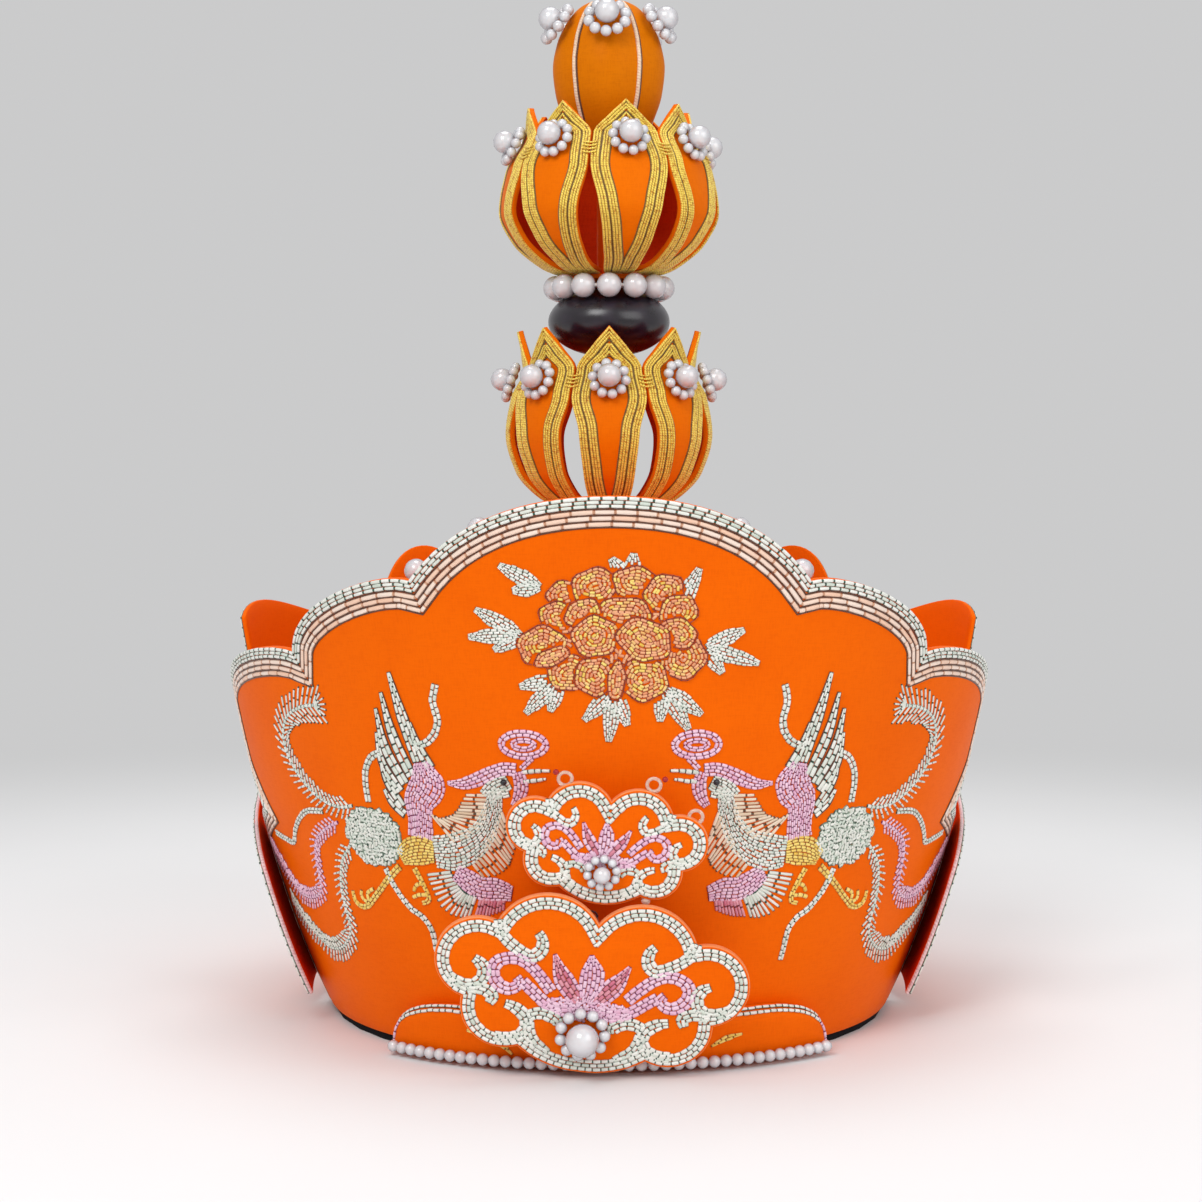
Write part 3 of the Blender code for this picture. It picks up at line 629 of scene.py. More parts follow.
class Thread(Enum):
    """Threads of the embroidery, each with its finish: light tone, deep tone, and the joints' dark colour
    that also paints shade down the flanks.
    """

    WHITE = StitchFinish("white_braid", Slot.SILVER,
                         (0.89, 0.88, 0.83), (0.70, 0.73, 0.65), (0.02, 0.085, 0.05))
    LONG = StitchFinish("long_pale_thread", Slot.GOLD,
                        (0.90, 0.76, 0.66), (0.86, 0.54, 0.38), (0.62, 0.33, 0.20), 0.34, 0.97)
    SILVER = StitchFinish("silver_green_thread", Slot.SILVER,
                          (0.86, 0.85, 0.79), (0.60, 0.67, 0.58), (0.015, 0.06, 0.035))
    CREAM = StitchFinish("cream_thread", Slot.SILVER,
                         (0.84, 0.70, 0.54), (0.64, 0.46, 0.30), (0.10, 0.05, 0.02))
    PINK = StitchFinish("pink_thread", Slot.PINK,
                        (0.88, 0.64, 0.76), (0.76, 0.42, 0.58), (0.18, 0.01, 0.10))
    ROSE = StitchFinish("rose_thread", Slot.PINK,
                        (0.78, 0.36, 0.42), (0.60, 0.14, 0.22), (0.16, 0.01, 0.04))
    GOLD = StitchFinish("gold_thread", Slot.GOLD,
                        (0.94, 0.74, 0.20), (0.80, 0.50, 0.06), (0.26, 0.10, 0.01))
    PEACH = StitchFinish("peach_thread", Slot.PINK,
                         (0.88, 0.45, 0.23), (0.74, 0.26, 0.11), (0.26, 0.012, 0.008))
    AMBER = StitchFinish("amber_thread", Slot.GOLD,
                         (0.92, 0.62, 0.24), (0.80, 0.40, 0.11), (0.30, 0.03, 0.01))
    # painted shade: dark red stitches in the gaps round the peony's petals
    WINE = StitchFinish("wine_outline", Slot.PINK,
                        (0.42, 0.05, 0.012), (0.28, 0.02, 0.008), (0.14, 0.01, 0.005))
    MOSS = StitchFinish("moss_shadow_thread", Slot.SILVER,
                        (0.26, 0.34, 0.26), (0.14, 0.22, 0.15), (0.04, 0.07, 0.04))


class Cord(Enum):
    """Cords and wires laid in long lines, each with its finish."""

    PALE = CordFinish("pale_cord", Slot.GOLD, (0.87, 0.66, 0.46), (0.72, 0.40, 0.26), 1100.0, 0.35)
    # dark cord: painted shade in the gaps of the border and beside the wing strokes; also the bud's dark
    # lines by its seams
    UMBER = CordFinish("umber_cord", Slot.GOLD, (0.14, 0.040, 0.010), (0.07, 0.018, 0.006), 1500.0)
    YELLOW = CordFinish("yellow_gold_cord", Slot.GOLD, (1.0, 0.79, 0.12), (0.58, 0.25, 0.008), 1300.0,
                        0.50, 0.12, 0.3)
    # painted shade: dark line in the grooves between a petal's gold cords
    OLIVE = CordFinish("olive_line", Slot.GOLD, (0.22, 0.12, 0.012), (0.10, 0.05, 0.008), 1500.0)
    STRING = CordFinish("pearl_string", Slot.PEARL, (0.75, 0.72, 0.68), (0.45, 0.42, 0.40), 1800.0)
    BLUSH = CordFinish("blush_edge_thread", Slot.PINK, (0.86, 0.66, 0.66), (0.66, 0.36, 0.40), 900.0)
    WIRE = TrimFinish("dark_spring_wire", Slot.WIRE, (0.10, 0.08, 0.08), (0.20, 0.17, 0.16), 0.35, 1.0)
    LOOP = CLEAR


class Bead(Enum):
    """Beads, each with its finish."""

    # third colour: painted shade at the pearl's rim
    PEARL = PearlFinish("pearl_lustre", Slot.PEARL, (0.76, 0.76, 0.78), (0.72, 0.69, 0.70),
                        (0.24, 0.23, 0.27))
    TIP = TrimFinish("red_tip", Slot.LACQUER, (0.45, 0.01, 0.01), (0.30, 0.005, 0.008), 0.35)
    JET = TrimFinish("jet_bead", Slot.LACQUER, (0.012, 0.011, 0.014), (0.03, 0.03, 0.035), 0.25)
    DROP = CLEAR


@functools.cache
def stitch_tree(material: bpy.types.Material) -> bpy.types.NodeTree:
    """Lay a rounded stitch on every point, along its line and up from its cloth.

    Args:
        material: The thread.

    Returns:
        The tree.
    """
    board, given = start_tree("stitches_" + material.name, "GeometryNodeTree",
                              {"Sides": 6, "Taper": 0.3, "Seed": 1})
    rod = board.add("GeometryNodeMeshCylinder", {"fill_type": "NGON"}, Vertices=given["Sides"],
                    Side_Segments=4, Fill_Segments=1, Radius=0.5, Depth=1.0)
    spot = board.add("GeometryNodeInputPosition").outputs[0]
    x, y, z = board.add("ShaderNodeSeparateXYZ", Vector=spot).outputs
    inner = board.math("SUBTRACT", 1.0, board.times(board.math("ABSOLUTE", z), 2.0))
    reach = board.math("SUBTRACT", 1.0, board.math("POWER", inner, 3.0))
    girth = board.math("SUBTRACT", 1.0, board.times(board.math("POWER", reach, 8.0), given["Taper"]))
    far = board.times(board.math("SIGN", z), board.times(reach, 0.5))
    moved = board.add("ShaderNodeCombineXYZ", X=board.times(x, girth), Y=board.times(y, girth), Z=far)
    shaped = board.add("GeometryNodeSetPosition", Geometry=rod.outputs["Mesh"], Position=moved.outputs[0])
    # crest: height across the stitch, read by the thread tone group to paint shade down the flanks
    marked = board.keep(board.keep(shaped.outputs[0], "reach", reach), "crest", y)
    chance = board.add("FunctionNodeRandomValue", {"data_type": "FLOAT"}, Seed=given["Seed"]).outputs[1]
    laid = board.keep(board.scatter(given["Geometry"], marked), "tone", chance, "INSTANCE")
    return board.close_shape(laid, material)


@functools.cache
def cord_tree(material: bpy.types.Material) -> bpy.types.NodeTree:
    """Turn lines of edges into round cords, with the distance along and the turn round kept.

    Args:
        material: The cord.

    Returns:
        The tree.
    """
    board, given = start_tree("cords_" + material.name, "GeometryNodeTree", {"Radius": 0.0005, "Sides": 8})
    line = board.add("GeometryNodeMeshToCurve", Mesh=given["Geometry"]).outputs[0]
    line = board.keep(line, "along", board.add("GeometryNodeSplineParameter").outputs["Length"])
    ring = board.add("GeometryNodeCurvePrimitiveCircle", {"mode": "RADIUS"},
                     Resolution=given["Sides"], Radius=given["Radius"]).outputs[0]
    turn = board.times(board.add("GeometryNodeSplineParameter").outputs["Factor"], 2 * math.pi)
    ring = board.keep(ring, "round_cos", board.math("COSINE", turn))
    ring = board.keep(ring, "round_sin", board.math("SINE", turn))
    tube = board.add("GeometryNodeCurveToMesh", Curve=line, Profile_Curve=ring, Fill_Caps=True).outputs[0]
    return board.close_shape(tube, material)


@functools.cache
def bead_tree(material: bpy.types.Material) -> bpy.types.NodeTree:
    """Put a round bead on every point.

    Args:
        material: The bead.

    Returns:
        The tree.
    """
    board, given = start_tree("beads_" + material.name, "GeometryNodeTree", {"Segments": 16, "Rings": 10})
    ball = board.add("GeometryNodeMeshUVSphere", Segments=given["Segments"], Rings=given["Rings"], Radius=0.5)
    return board.close_shape(board.scatter(given["Geometry"], ball.outputs["Mesh"]), material)


def plain_mesh(shape: bpy.types.Object) -> bpy.types.Mesh:
    """Mesh of an object as its modifiers leave it.

    Args:
        shape: The object, a mesh or a curve.

    Returns:
        A new mesh.
    """
    bpy.context.view_layer.update()
    depsgraph = bpy.context.evaluated_depsgraph_get()
    return bpy.data.meshes.new_from_object(shape.evaluated_get(depsgraph), depsgraph=depsgraph)


def seat_piece(piece: bpy.types.Object, nodes: Iterable[str] = ()) -> bpy.types.Object:
    """Ride a finished piece on the crown and hide the solids that it stands for.

    Args:
        piece: The finished object, at the origin.
        nodes: Solids that it stands for.

    Returns:
        The piece.
    """
    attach(piece, ROOT)
    if nodes:
        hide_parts(*nodes)
    LOG.info("%s: %d faces", piece.name, len(piece.data.polygons))
    return piece


def run_tree(name: str, mesh: bpy.types.Mesh, tree: bpy.types.NodeTree, inputs: dict[str, object],
             nodes: Iterable[str] = ()) -> None:
    """Run a Geometry Nodes tree on a mesh and seat the result as a piece with a plain mesh.

    Args:
        name: Name of the piece.
        mesh: Points or lines that the tree works on.
        tree: The tree.
        inputs: Values for its named inputs.
        nodes: Solids that the piece stands for.
    """
    piece = bpy.data.objects.new(name, mesh)
    bpy.context.scene.collection.objects.link(piece)
    modifier = piece.modifiers.new("build", "NODES")
    modifier.node_group = tree
    sockets = {item.name: item.identifier for item in tree.interface.items_tree if item.in_out == "INPUT"}
    for label, value in inputs.items():
        modifier[sockets[label]] = value
    finished = plain_mesh(piece)
    piece.modifiers.clear()
    piece.data = finished
    finished.name = name
    bpy.data.meshes.remove(mesh)
    seat_piece(piece, nodes)


def quilt(bm: bmesh.types.BMesh, rows: Sequence[Sequence[Vector]], closed: bool = False,
          flip: bool = False) -> list[list[bmesh.types.BMVert]]:
    """Join rows of points with quads.

    Args:
        bm: Where to add them.
        rows: Rows of as many points each.
        closed: Whether each row closes on itself.
        flip: Whether the faces turn the other way.

    Returns:
        The corners, row by row.
    """
    corners = [[bm.verts.new(point) for point in row] for row in rows]
    for a, b in zip(corners, corners[1:]):
        for index in range(len(a) if closed else len(a) - 1):
            after = (index + 1) % len(a)
            quad = (a[index], b[index], b[after], a[after])
            bm.faces.new((a[index], a[after], b[after], b[index]) if flip else quad)
    return corners


def finish_mesh(name: str, bm: bmesh.types.BMesh, finishes: Sequence[Finish | bpy.types.Material],
                wall: float = 0.0, bevel: float = 0.0) -> bpy.types.Object:
    """Turn a bmesh into an object, with a wall and soft edges where asked for.

    Args:
        name: Name of the object.
        bm: The mesh so far.
        finishes: Its finishes or materials; with a wall, a second one is for the inner face.
        wall: Thickness grown inwards.
        bevel: Width of the edges' rounding.

    Returns:
        The finished object.
    """
    bmesh.ops.remove_doubles(bm, verts=bm.verts, dist=DOUBLES)
    mesh = bpy.data.meshes.new(name)
    bm.to_mesh(mesh)
    bm.free()
    for finish in finishes:
        mesh.materials.append(material_of(finish) if isinstance(finish, Finish) else finish)
    piece = bpy.data.objects.new(name, mesh)
    bpy.context.scene.collection.objects.link(piece)
    if wall:
        shell = piece.modifiers.new("wall", "SOLIDIFY")
        shell.thickness = wall
        shell.offset = -1.0
        shell.material_offset = len(finishes) - 1
    if bevel:
        edge = piece.modifiers.new("edge", "BEVEL")
        edge.width = bevel
        edge.segments = 2
        edge.limit_method = "ANGLE"
        edge.angle_limit = math.radians(50)
    if wall or bevel:
        mesh = plain_mesh(piece)
        piece.modifiers.clear()
        piece.data = mesh
    piece.data.shade_smooth()
    piece.data.set_sharp_from_angle(angle=math.radians(48))
    return piece


class Surface:
    """A surface that embroidery lies on, read by two lengths across and up it."""

    def place(self, across: float, up: float, lift: float = 0.0) -> Vector:
        """Point above the surface."""
        return self.spot(across, up) + self.normal(across, up) * lift

    def spot(self, across: float, up: float) -> Vector:
        """Point on the surface: an angle and a height, with the angle as a length over the ground."""
        return self.at(across / GROUND, up)

    def at(self, angle: float, height: float, offset: float = 0.0) -> Vector:
        """Point at an angle, in degrees, and a height."""
        raise NotImplementedError

    def normal(self, across: float, up: float) -> Vector:
        """Direction away from the surface.

        Args:
            across: Length across it.
            up: Length up it.

        Returns:
            A unit vector.
        """
        step = 0.4 * MM
        side = self.spot(across + step, up) - self.spot(across - step, up)
        rise = self.spot(across, up + step) - self.spot(across, up - step)
        return side.cross(rise).normalized()


@dataclass(frozen=True)
class FlaredWall(Surface):
    """The front wall: an ellipse that widens upwards."""

    centre: float
    half_width: float = 90 * MM
    half_depth: float = 100 * MM
    flare_width: float = 22.4 * MM
    flare_depth: float = 8 * MM
    flare_height: float = 60 * MM
    lean_width: float = 0.13
    lean_depth: float = 0.10

    def axes(self, height: float) -> Place:
        """Half width and half depth at a height."""
        flare = 1 - math.exp(-max(height, 0.0) / self.flare_height)
        return (self.half_width + self.flare_width * flare + self.lean_width * height,
                self.half_depth + self.flare_depth * flare + self.lean_depth * height)

    def at(self, angle: float, height: float, offset: float = 0.0) -> Vector:
        """Point at an angle from the front, with the ellipse grown by an offset."""
        across, deep = self.axes(height)
        return around(self.centre, math.radians(angle), across + offset, deep + offset, height)


@dataclass(frozen=True)
class BackWall(Surface):
    """The back panel's outer face, whose front ends stand off as flaps."""

    wall: FlaredWall
    stand_off: float = 2.3 * MM
    height: float = 166 * MM
    straightness: float = 0.3
    flap_start: float = 60.0
    flap_spread: float = 28.0
    flap_top: float = 0.44
    flap_fade: float = 0.14

    def at(self, angle: float, height: float, offset: float = 0.0) -> Vector:
        """Point at an angle from the back.

        Args:
            angle: In degrees.
            height: Over the ground.
            offset: Length further out.

        Returns:
            The point.
        """
        part = ease((abs(angle) - self.flap_start) / self.flap_spread)
        stand = self.stand_off * part * (1 - ease((height / self.height - self.flap_top) / self.flap_fade))
        across, deep = self.wall.axes(height)
        turn = math.radians(abs(angle))
        reach = math.sin(turn)
        if abs(angle) > 90:
            reach = 1 - self.straightness * (1 - math.sin(turn))
        side = -1 if angle > 0 else 1
        across = side * (across + offset + stand) * reach
        return Vector((across, self.wall.centre + deep * math.cos(turn), height))


@dataclass(frozen=True)
class PlateFace(Surface):
    """The flat front of a cloud plate."""

    frame: Matrix
    half_thickness: float

    def spot(self, across: float, up: float) -> Vector:
        """Point on the plate's front."""
        return self.frame @ Vector((across, up, self.half_thickness))

    def normal(self, across: float, up: float) -> Vector:
        """The plate's outward direction."""
        return self.frame.to_3x3().col[2].normalized()


@dataclass
class Points:
    """Points with a line direction, a cloth direction and a size, for stitches and beads."""

    rows: list[tuple[Vector, Vector, Vector, Sequence[float]]] = field(default_factory=list)

    def add(self, place: Vector, along: Vector, up: Vector, size: float | Sequence[float]) -> None:
        """Add one point, with three sizes or one for all three ways."""
        self.rows.append((place, along, up, (size,) * 3 if isinstance(size, float) else size))

    def mesh(self, name: str) -> bpy.types.Mesh:
        """Mesh of loose points that carries the directions and sizes.

        Args:
            name: The mesh's name.

        Returns:
            The mesh.
        """
        mesh = bpy.data.meshes.new(name)
        places, *columns = ([tuple(row[column]) for row in self.rows] for column in range(4))
        mesh.from_pydata(places, [], [])
        for label, values in zip(("along_line", "up", "size"), columns):
            layer = mesh.attributes.new(label, "FLOAT_VECTOR", "POINT")
            layer.data.foreach_set("vector", np.array(values, dtype=np.float32).ravel())
        return mesh


def sew(name: str, points: Points, thread: Thread) -> None:
    """Lay stitches of one thread on their points as one piece."""
    run_tree(name, points.mesh(name), stitch_tree(material_of(thread.value)),
             {"Sides": 6, "Taper": 0.34, "Seed": len(points.rows)})


def lay_cords(name: str, lines: Sequence[Sequence[Vector]], radius: float, cord: Cord,
              sides: int = 8, nodes: Iterable[str] = ()) -> None:
    """Lay cords of one kind along lines as one piece.

    Args:
        name: Name of the piece.
        lines: The cords' routes.
        radius: Half their thickness.
        cord: Their kind.
        sides: Sides of their section.
        nodes: Solids that the piece stands for.
    """
    points: list[tuple[float, ...]] = []
    edges: list[tuple[int, int]] = []
    for line in lines:
        start = len(points)
        points += [tuple(point) for point in line]
        edges += [(start + index, start + index + 1) for index in range(len(line) - 1)]
    mesh = bpy.data.meshes.new(name)
    mesh.from_pydata(points, edges, [])
    run_tree(name, mesh, cord_tree(material_of(cord.value)), {"Radius": radius, "Sides": sides},
             nodes)


def string_beads(name: str, points: Points, nodes: Iterable[str] = (), bead: Bead = Bead.PEARL,
                 detail: tuple[int, int] = (14, 9)) -> None:
    """Put beads on their points as one piece; the detail is a bead's segments and rings."""
    run_tree(name, points.mesh(name), bead_tree(material_of(bead.value)),
             dict(zip(("Segments", "Rings"), detail)), nodes)


@dataclass(frozen=True)
class Oval:
    """A turned oval on a surface: one petal of a flower."""

    centre: Place
    size: Place
    tilt: float
    ruffle: float = 0.08
    ruffles: int = 5

    def holds(self, place: Vector, margin: float) -> bool:
        """Whether a place lies inside the oval grown by a margin.

        Args:
            place: The place.
            margin: Length added on every side.

        Returns:
            True inside.
        """
        turn = math.radians(self.tilt)
        x, y = place.x - self.centre[0], place.y - self.centre[1]
        ahead, across = x * math.cos(turn) + y * math.sin(turn), y * math.cos(turn) - x * math.sin(turn)
        return (ahead / (self.size[0] / 2 + margin)) ** 2 + (across / (self.size[1] / 2 + margin)) ** 2 < 1

    def ring(self, inset: float) -> list[Place]:
        """Points round the oval at a depth inside it, slightly ruffled.

        Args:
            inset: The depth.

        Returns:
            The points.
        """
        turn = math.radians(self.tilt)
        ahead, across = (max(0.1 * MM, size / 2 - inset) for size in self.size)
        points = []
        for spin in (2 * math.pi * step / 18 for step in range(18)):
            ruffle = 1 + self.ruffle * math.sin(self.ruffles * spin + self.centre[0] / MM)
            x, y = ahead * ruffle * math.cos(spin), across * ruffle * math.sin(spin)
            points.append((self.centre[0] + x * math.cos(turn) - y * math.sin(turn),
                           self.centre[1] + x * math.sin(turn) + y * math.cos(turn)))
        return points


@dataclass
class Embroidery:
    """Couched stitches on one surface, gathered by thread.

    Its lines have three columns: two lengths over the surface and the width of the stitches there.
    """

    surface: Surface
    pitch: float = 1.9 * MM
    row: float = 0.98 * MM
    height: float = 0.75 * MM
    seed: int = 3
    wobble: float = 0.07
    threads: dict[Thread, Points] = field(default_factory=dict)
    covers: Sequence[Oval] = ()

    def __post_init__(self) -> None:
        """Start the fixed chance that varies the stitches."""
        self.chance = random.Random(self.seed)

    def stitch(self, thread: Thread, start: Vector, end: Vector) -> None:
        """Lay one stitch between two places of a line, unless a later petal covers it.

        Args:
            thread: The thread.
            start: One end.
            end: The other end.
        """
        middle = (start + end) / 2
        if any(cover.holds(middle, 0.3 * MM) for cover in self.covers):
            return
        low = self.surface.spot(start.x, start.y)
        high = self.surface.spot(end.x, end.y)
        up = self.surface.normal(middle.x, middle.y)
        along = high - low
        side = along.normalized().cross(up) * (middle.z * self.chance.uniform(-self.wobble, self.wobble))
        lift = up * (self.height * self.chance.uniform(0.12, 0.24))
        width = middle.z * self.chance.uniform(0.95, 1.05)
        self.threads.setdefault(thread, Points()).add(
            (low + high) / 2 + lift + side, along.normalized(), up, (width, self.height, along.length))

    def run(self, thread: Thread | tuple[Thread, ...], line: Sequence[Vector], offset: float = 0.0,
            pitch: float | None = None) -> None:
        """Lay a row of stitches along a line.

        Args:
            thread: The thread, or several to mix.
            line: The row's places and widths.
            offset: Where the first joint falls, as a share of a stitch.
            pitch: Length of a stitch, where it isn't the usual one.
        """
        pitch = pitch or self.pitch
        grain = 0.1 * MM
        fine = even_line(line, grain)
        length = grain * (len(fine) - 1)
        marks = [0.0]
        mark = pitch * (1 - offset) if offset else pitch
        while mark < length - 0.35 * pitch:
            marks.append(mark)
            mark += pitch * self.chance.uniform(0.88, 1.12)
        marks.append(length)
        for low, high in zip(marks, marks[1:]):
            if high - low > 0.2 * pitch:
                a, b = (fine[min(len(fine) - 1, round(place / grain))] for place in (low, high))
                self.stitch(self.chance.choice(thread) if isinstance(thread, tuple) else thread, a, b)

    def stroke(self, thread: Thread, spine: Sequence[Place], widths: Sequence[float], loop: bool = False,
               inner: Thread | None = None) -> None:
        """Fill a stroke with rows of stitches that follow its spine and close in where it narrows.

        Args:
            thread: The thread.
            spine: Points of the spine, in metres on the surface.
            widths: Widths at even steps along the spine.
            loop: Whether the stroke closes on itself.
            inner: Thread of the inner rows, where it isn't the same.
        """
        line = smooth_line(spine, 0.35 * MM, loop)
        girth = [float(width) for width in spread(widths, len(line))]
        rows = max(1, round(max(widths) / self.row))
        for index in range(rows):
            share = (index + 0.5) / rows - 0.5
            part = []
            for step, point in enumerate(line):
                place = point + heading(line, step).orthogonal() * (share * girth[step])
                part.append(Vector((*place, max(0.42 * self.row, girth[step] / rows * 1.02))))
            edge = index in (0, rows - 1) or inner is None
            self.run(thread if edge else inner, part, 0.5 if index % 2 else 0.0)

    def beside(self, spine: Sequence[Place], shifts: Sequence[float]) -> list[Vector]:
        """A line on the surface beside a spine.

        Args:
            spine: Points of the spine.
            shifts: Distances from it at even steps along it.

        Returns:
            Places in three dimensions.
        """
        line = smooth_line(spine, 0.8 * MM)
        shift = spread(shifts, len(line))
        places = [point + heading(line, step).orthogonal() * float(shift[step])
                  for step, point in enumerate(line)]
        return [self.surface.place(place.x, place.y, 0.25 * self.height) for place in places]

    def feather(self, thread: Thread, root: Vector, tip: Vector, width: float) -> None:
        """Lay one barb of two stitches, slimmer towards its tip.

        Args:
            thread: The thread.
            root: Where it starts.
            tip: Where it ends.
            width: Width at its root.
        """
        shares = (0.0, 0.5 + self.chance.uniform(-0.14, 0.14), 1.0)
        marks = [Vector((*root.lerp(tip, share), width * (1.05 - 0.35 * share))) for share in shares]
        for low, high in zip(marks, marks[1:]):
            self.stitch(thread, low, high)

    def plume(self, thread: Thread, spine: Sequence[Place], barb: float) -> None:
        """Lay a tail plume: a spine of rows with barbs on both sides that lean towards its tip.

        Args:
            thread: The thread.
            spine: Points of the spine.
            barb: Length of the first barbs.
        """
        self.stroke(thread, spine, (1.2 * self.row,) * 2)
        line = smooth_line(spine, 2.0 * MM)
        for step in range(1, len(line)):
            way = heading(line, step)
            across = way.orthogonal()
            length = barb * (0.95 + 0.85 * step / len(line)) * self.chance.uniform(0.88, 1.1)
            for side in (-1, 1):
                root = line[step] + across * side * 0.3 * self.row
                self.feather(thread, root, root + (way * 0.6 + across * side * 0.8) * length, 0.8 * MM)
        for turn in (-40, -20, 0, 20, 40):
            lean = Matrix.Rotation(math.radians(turn), 2) @ way
            self.feather(thread, line[-1], line[-1] + lean * barb * 1.4, 0.78 * MM)

    def petal(self, oval: Oval, outline: Thread, fill: tuple[Thread, ...]) -> None:
        """Fill an oval petal with rings of stitches inside a thin dark outline, painted shade in the gap
        round it.

        Args:
            oval: The petal.
            outline: Thread of the outline, laid as painted shade.
            fill: Threads that the rings mix.
        """
        depth = 0.25 * MM
        # painted shade: the dark outline fills the gap round the petal
        self.run(outline, widened(smooth_line(oval.ring(depth), 0.5 * MM, True), 0.34 * MM), 0.0, 1.6 * MM)
        depth += 0.15 * MM + self.row / 2
        while depth < min(oval.size) / 2:
            ring = widened(smooth_line(oval.ring(depth), 0.3 * MM, True), self.row)
            self.run(fill, ring, self.chance.random())
            depth += self.row
        spread_out = (oval.size[0] - oval.size[1]) / 2
        if spread_out > self.row:
            turn = math.radians(oval.tilt)
            arm = Vector((math.cos(turn), math.sin(turn))) * spread_out
            self.run(fill[0], widened([Vector(oval.centre) - arm, Vector(oval.centre) + arm], self.row))

    def seeds(self, thread: Thread, centre: Place, size: Place, under: Thread | None = None) -> None:
        """Fill an oval with short stitches that lie every way.

        Args:
            thread: The thread.
            centre: Middle of the oval.
            size: Its width and height.
            under: Thread of flat, wide stitches beneath, where there are some.
        """
        gap = 1.08 * MM
        columns, rows = int(size[0] / gap), int(size[1] / gap)
        for column, row in itertools.product(range(columns + 1), range(rows + 1)):
            x = (column / columns * 2 - 1) * size[0] / 2 + self.chance.uniform(-0.3, 0.3) * gap
            z = (row / rows * 2 - 1) * size[1] / 2 + self.chance.uniform(-0.3, 0.3) * gap
            if (2 * x / size[0]) ** 2 + (2 * z / size[1]) ** 2 > 1:
                continue
            turn = self.chance.uniform(0, math.pi)
            reach = Vector((math.cos(turn), math.sin(turn), 0)) * 0.9 * MM
            middle = Vector((centre[0] + x, centre[1] + z, 0.95 * MM))
            self.stitch(thread, middle - reach, middle + reach)
            if under:
                wider = Vector((0, 0, 0.9 * MM))
                self.height *= 0.4
                self.stitch(under, middle - reach + wider, middle + reach + wider)
                self.height /= 0.4

    def make(self, title: str) -> None:
        """Make one piece for each thread."""
        for thread, points in self.threads.items():
            sew(f"{title}_{thread.name.lower()}", points, thread)


def widened(line: Iterable[Vector], width: float) -> list[Vector]:
    """A line with one width for all its stitches."""
    return [Vector((point.x, point.y, width)) for point in line]


def mirrored(points: Iterable[Place], side: int) -> list[Place]:
    """Points in metres from a table in millimetres, on the chosen side."""
    return [(x * side * MM, z * MM) for x, z in points]


def inset_line(outline: Sequence[Vector], depth: float, loop: bool = False) -> list[Vector]:
    """Line at a depth inside an outline that runs clockwise, with mitred corners.

    Args:
        outline: Closely spaced points of the outline, in two dimensions.
        depth: How far inside.
        loop: Whether the outline closes on itself.

    Returns:
        The inner line.
    """
    count = len(outline)
    table = np.array([tuple(point) for point in outline])
    line = []
    for index, point in enumerate(outline):
        before = outline[index - 1] if index or loop else point
        after = outline[(index + 1) % count] if index < count - 1 or loop else point
        ways = [way.normalized() for way in (point - before, after - point) if way.length > 1e-9]
        sides = [Vector((way.y, -way.x)) for way in ways]
        first, last = sides[0], sides[-1]
        place = point + (first + last) * depth / max(0.3, 1 + first.dot(last))
        if np.min(np.hypot(table[:, 0] - place.x, table[:, 1] - place.y)) > 0.975 * depth:
            line.append(place)
    if loop:
        line.append(line[0])
    return line


def split_at_corners(line: Sequence[Vector], angle: float = 32.0) -> list[list[Vector]]:
    """Cut a line where it turns sharply.

    Args:
        line: The line's points.
        angle: Least turn of a corner, in degrees.

    Returns:
        The line's parts, each with both its corners.
    """
    limit = math.cos(math.radians(angle))
    parts = [[line[0]]]
    for before, point, after in zip(line, line[1:], line[2:]):
        parts[-1].append(point)
        first, last = point - before, after - point
        if min(first.length, last.length) > 1e-9 and first.normalized().dot(last.normalized()) < limit:
            parts.append([point])
    parts[-1].append(line[-1])
    return [part for part in parts if len(part) > 1]


@dataclass(frozen=True)
class Border:
    """Edge trim: rows of braid at the very edge, then rows of long stitches between dark cords laid as
    painted shade.
    """

    row: float = 1.1 * MM
    pitch: float = 3.2 * MM
    long_rows: Sequence[float] = (4.40 * MM, 6.10 * MM, 7.80 * MM)
    long_width: float = 1.42 * MM
    long_pitch: float = 5.5 * MM
    # depths of the dark cords, painted shade in the gaps between the rows
    dark_lines: Sequence[float] = (3.55 * MM, 5.25 * MM, 6.95 * MM, 8.65 * MM)

    def lay(self, title: str, surface: Surface, outline: Sequence[Vector]) -> None:
        """Lay the whole trim inside an outline on a surface.

        Args:
            title: Start of the pieces' names.
            surface: What it lies on.
            outline: The edge, clockwise.
        """
        work = Embroidery(surface, pitch=self.pitch, row=self.row, height=0.9 * MM, seed=11, wobble=0.03)
        for index, thread in enumerate((Thread.WHITE, Thread.SILVER, Thread.WHITE)):
            for part in split_at_corners(inset_line(outline, (index + 0.5) * self.row)):
                work.run(thread, widened(part, self.row), 0.5 if index % 2 else 0.0)
        for index, depth in enumerate(self.long_rows):
            for part in split_at_corners(inset_line(outline, depth)):
                work.run(Thread.LONG, widened(part, self.long_width), index / 3, self.long_pitch)
        work.make(f"{title}_trim")
        # painted shade: dark cords in the gaps between the rows
        parts = [even_line(part, 1.1 * MM) for depth in self.dark_lines
                 for part in split_at_corners(inset_line(outline, depth))]
        dark = [[surface.place(*point, 0.08 * MM) for point in part] for part in parts if len(part) > 1]
        lay_cords(f"{title}_dark_lines", dark, 0.27 * MM, Cord.UMBER, 4)


